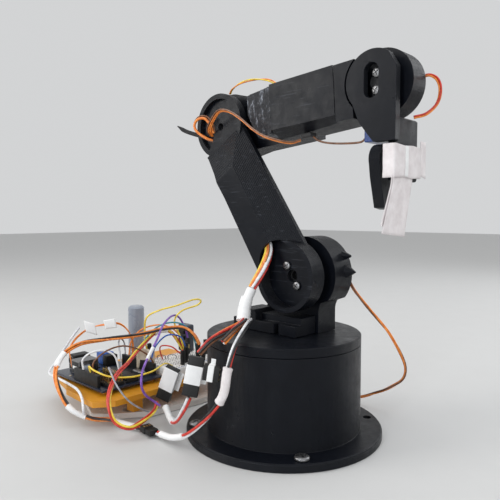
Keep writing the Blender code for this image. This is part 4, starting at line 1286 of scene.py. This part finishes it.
def paper_tag():
    """The beige paper tag that leans on the board's edge."""
    def place(u, v):
        curl = 0.8 * math.sin(u * 3 + v)
        return -118 + 11 * v + 2 * u, -36 + 9 * v - 1.5 * u, 25.5 + 17 * u - 2 * v + curl * 0.3

    surface("paper_tag", place, 12, 10, 0.4, "tag", "base")


# Short wires, each a cord of its own, among the tray's parts and at the elbow: (colour, diameter, route)

JUMPERS = {
    "elbow_loop": (
        "orange", 1.9,
        [
            (-61.5, -6.8, 197.5), (-65, -10.5, 199.5), (-71, -13.5, 204), (-73.5, -14, 209),
            (-70, -13.5, 213), (-64.5, -12, 213), (-61, -10, 208.5), (-60.5, -7, 203)
        ]
    ),
    "elbow_loop_brown": (
        "brown", 1.1,
        [
            (-60.5, -6.8, 196.5), (-64, -9.5, 198), (-70, -12, 202), (-75.2, -13, 208.5),
            (-71.5, -12.5, 214.6), (-64.2, -11, 214.8), (-59.4, -9, 209.5), (-59.2, -6.8, 203)
        ]
    ),
    "jumper_grey_1": (
        "grey", 1.2,
        [
            (-137, -33.6, 33), (-138, -34, 42), (-134, -40, 47), (-124, -48, 46), (-113, -54, 41),
            (-105, -58, 33.5)
        ]
    ),
    "jumper_grey_2": (
        "grey", 1.2,
        [
            (-96, -70, 33.4), (-93, -76, 39), (-84, -80, 38), (-76, -80, 30), (-72, -74, 20),
            (-72, -64, 12), (-78, -54, 6)
        ]
    ),
    "jumper_red": (
        "red", 1.1,
        [
            (-113, -15, 29.6), (-111, -19, 38), (-104, -22, 43), (-96, -19, 43), (-91, -14.5, 38),
            (-89, -14, 41)
        ]
    ),
    "jumper_teal": (
        "teal", 1.2,
        [
            (-116, -33.6, 33), (-115, -31, 46), (-110, -24, 56), (-104, -14, 60), (-99, -4, 57),
            (-97, 4, 46), (-96.5, 7, 29.6)
        ]
    ),
    "jumper_blue": (
        "blue", 1.2,
        [(-103, -33.6, 33), (-102, -30, 44), (-98, -22, 52), (-94, -12, 50), (-92.6, -8.2, 42)]
    ),
    "jumper_yellow": (
        "yellow", 1.2,
        [
            (-111, -79.6, 33), (-109, -82, 38), (-100, -83, 37), (-92, -76, 33), (-86, -62, 31),
            (-84, -46, 32), (-88, -32, 34), (-92, -22, 29.7)
        ]
    ),
    "jumper_orange": (
        "orange", 1.2,
        [
            (-132, -33.6, 33), (-132, -31, 44), (-127, -24, 53), (-119, -14, 56), (-113, -4, 52),
            (-110, 3, 42), (-109.5, 5.2, 29.7)
        ]
    ),
    "jumper_brown": (
        "brown", 1.2,
        [
            (-107, -79.6, 33), (-106, -80, 41), (-103, -72, 48), (-101, -60, 50), (-100, -48, 46),
            (-99.5, -38, 39), (-99.5, -33.8, 33)
        ]
    ),
    "jumper_white": (
        "white", 1.4,
        [
            (-121, -79.6, 33), (-121, -80, 40), (-117, -76, 45), (-113, -68, 46), (-108, -62, 42),
            (-104.5, -60.5, 32)
        ]
    ),
}


def jumpers():
    for name, (colour, diameter, route) in JUMPERS.items():
        path = smooth_path(route, 0.8 * MM)
        shape = Shape()
        shape.tube(path, diameter / 2, colour, 10)
        piece = shape.piece(name)
        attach(piece, "upper_arm" if name.startswith("elbow") else "base")


# Glue, tie, tape and strip

def glue_patch():
    """The scraped filling: the node's own form, broken up with lumps that stay inside it."""
    obj = NODES["forearm_patch"].copy()
    obj.data = obj.data.copy()
    obj.name = "glue_filling"
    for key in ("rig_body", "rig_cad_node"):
        del obj[key]
    obj.parent = None
    bpy.context.scene.collection.objects.link(obj)
    fine = obj.modifiers.new("fine", "REMESH")
    fine.mode = "VOXEL"
    fine.voxel_size = 0.7 * MM
    bpy.context.view_layer.update()
    mesh = bpy.data.meshes.new_from_object(obj.evaluated_get(bpy.context.evaluated_depsgraph_get()))
    obj.modifiers.clear()
    obj.data = mesh
    moves = []
    for vertex in mesh.vertices:
        p = vertex.co / MM
        lump = noise.noise(p * 0.35) * 0.5 + noise.noise(p * 0.9) * 0.35 + noise.noise(p * 2.1) * 0.15
        moves.append(vertex.co - vertex.normal * MM * (0.3 + 0.4 * lump))
    for vertex, place in zip(mesh.vertices, moves):
        vertex.co = place
    mesh.materials.clear()
    mesh.materials.append(LOOKS["glue"])
    mesh.shade_smooth()
    stands_for(obj, "forearm_patch")


def strap_tie():
    """The black tie behind the elbow: a flat ribbed strap that narrows to a point."""
    route = [(-97, -10.5, 211.5), (-88.5, -10.3, 207), (-77, -10, 203.2), (-66, -9.6, 200.2)]
    path = smooth_path(route, 0.5 * MM)
    frames = transported(path)
    shape = Shape()
    rings = []
    for i, (point, (across, up)) in enumerate(zip(path, frames)):
        u = i / (len(path) - 1)
        wide = 1.45 * min(1.0, 0.15 + u * 4.5)
        rib = 0.1 if i % 3 == 0 and u > 0.25 else 0.0
        corners = ((-1, -0.45 - rib), (1, -0.45 - rib), (1, 0.45), (-1, 0.45))
        rings.append([shape.bm.verts.new(point + (up * a * wide + across * b) * MM) for a, b in corners])
    for lower, upper in zip(rings, rings[1:]):
        for k in range(4):
            n = (k + 1) % 4
            shape.bm.faces.new((lower[k], lower[n], upper[n], upper[k]))
    shape.bm.faces.new(rings[0])
    shape.bm.faces.new(rings[-1])
    shape._finish(list(shape.bm.faces), "matt")
    stands_for(shape.piece("tie_strap", 30), "elbow_tie")


def tape_and_strip():
    low, high = (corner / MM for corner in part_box("paper_wrap"))
    flap_start, flap_end = 16.0, high.y
    x0, x1, y0 = low.x, low.x + 8.0, low.y
    top, bottom = 182.5, low.z
    outline = []
    for cx, cy, first in (
        (x1 - 1.4, flap_start - 1.4, 0), (x0 + 1.4, flap_start - 1.4, 90),
        (x0 + 1.4, y0 + 1.4, 180), (x1 - 1.4, y0 + 1.4, 270)
    ):
        for step in range(5):
            a = math.radians(first + 22.5 * step)
            outline.append((cx + 1.2 * math.cos(a), cy + 1.2 * math.sin(a)))
    count = len(outline)

    def around(u, v):
        share = u * count
        i = int(share) % count
        a, b = Vector((*outline[i], 0)), Vector((*outline[(i + 1) % count], 0))
        p = a.lerp(b, share - int(share))
        wave = 0.35 * noise.noise(Vector((p.x * 0.3, p.y * 0.25, v * 3)))
        sway = 0.7 * math.sin(p.y * 0.35) * (v - 0.5)
        inward = Vector((x0 + 4 - p.x, 0, 0)).normalized()
        p = p + inward * max(0.0, wave)
        return p.x, p.y, bottom + 0.8 + (top - bottom - 1.6) * v + sway

    wrap = surface("tape_band", around, count * 3, 14, 0.35, "paper", BODY["paper_wrap"])
    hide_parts("paper_wrap")

    def flap(u, v):
        x = x1 - 0.5 + 0.35 * math.sin(u * 4 + v)
        y = flap_start - 1.5 + (flap_end - flap_start + 1.2) * u
        return x, y, 165.8 + 19.6 * v - 1.2 * u * (1 - v)

    surface("tape_flap", flap, 10, 12, 0.3, "paper", BODY["paper_wrap"])

    def edge(u, v):
        x = x1 + 0.05 + 0.12 * math.sin(v * 5)
        return x, -3.5 + 3.2 * u + 0.8 * v, bottom + 1.2 + (top - bottom - 2.4) * v

    surface("tape_fold", edge, 6, 12, 0.22, "sleeve", BODY["paper_wrap"])
    strip_low, strip_high = (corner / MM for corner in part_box("paper_strip"))
    middle = (strip_low.x + strip_high.x) / 2
    left = [(strip_high.z, -13.4), (160, -15), (strip_low.z + 2.2, strip_low.y)]
    right = [(strip_high.z, 7.6), (163, 6.8), (strip_low.z, -0.9)]

    def along(points, v):
        k = 0 if v < 0.35 else 1
        t = v / 0.35 if k == 0 else (v - 0.35) / 0.65
        return Vector(points[k]).lerp(Vector(points[k + 1]), t)

    for number, (offset, shift, short) in enumerate(((0.25, 0.0, 1.0), (-0.55, -1.4, 0.9)), 1):
        def hang(u, v, offset=offset, shift=shift, short=short):
            a, b = along(left, v * short), along(right, v * short)
            p = a.lerp(b, u)
            curl = 0.5 * math.sin(v * 5 + u * 1.2) + 0.35 * (u - 0.5) ** 2
            return middle + offset + curl * 0.35, p.y + shift * v, p.x

        strip = surface(f"strip_{number}", hang, 14, 24, 0.2, "paper", BODY["paper_strip"])
        if number == 1:
            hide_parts("paper_strip")


def small_marks():
    """The light-rimmed hole at the elbow."""
    centre = ELBOW / MM
    shape = Shape()
    turn = Matrix.Translation(Vector((centre.x + 2.6, -4.5, centre.z - 0.9)) * MM) @ Matrix.Rotation(
        math.radians(90),
        4, "X")
    shape.turned([(2.65, -0.2), (3.2, -0.2), (3.3, 0.1), (3.0, 0.35), (2.65, 0.2)], "steel", turn, 28)
    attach(shape.piece("elbow_eyelet"), "upper_arm")


dress_nodes()
screws()
servo_back("shoulder", IN_SHOULDER, "waist", -1)
servo_back("elbow", IN_FOREARM, "forearm", 1)
controller_board()
breadboard()
paper_tag()
jumpers()
glue_patch()
strap_tie()
tape_and_strip()
small_marks()
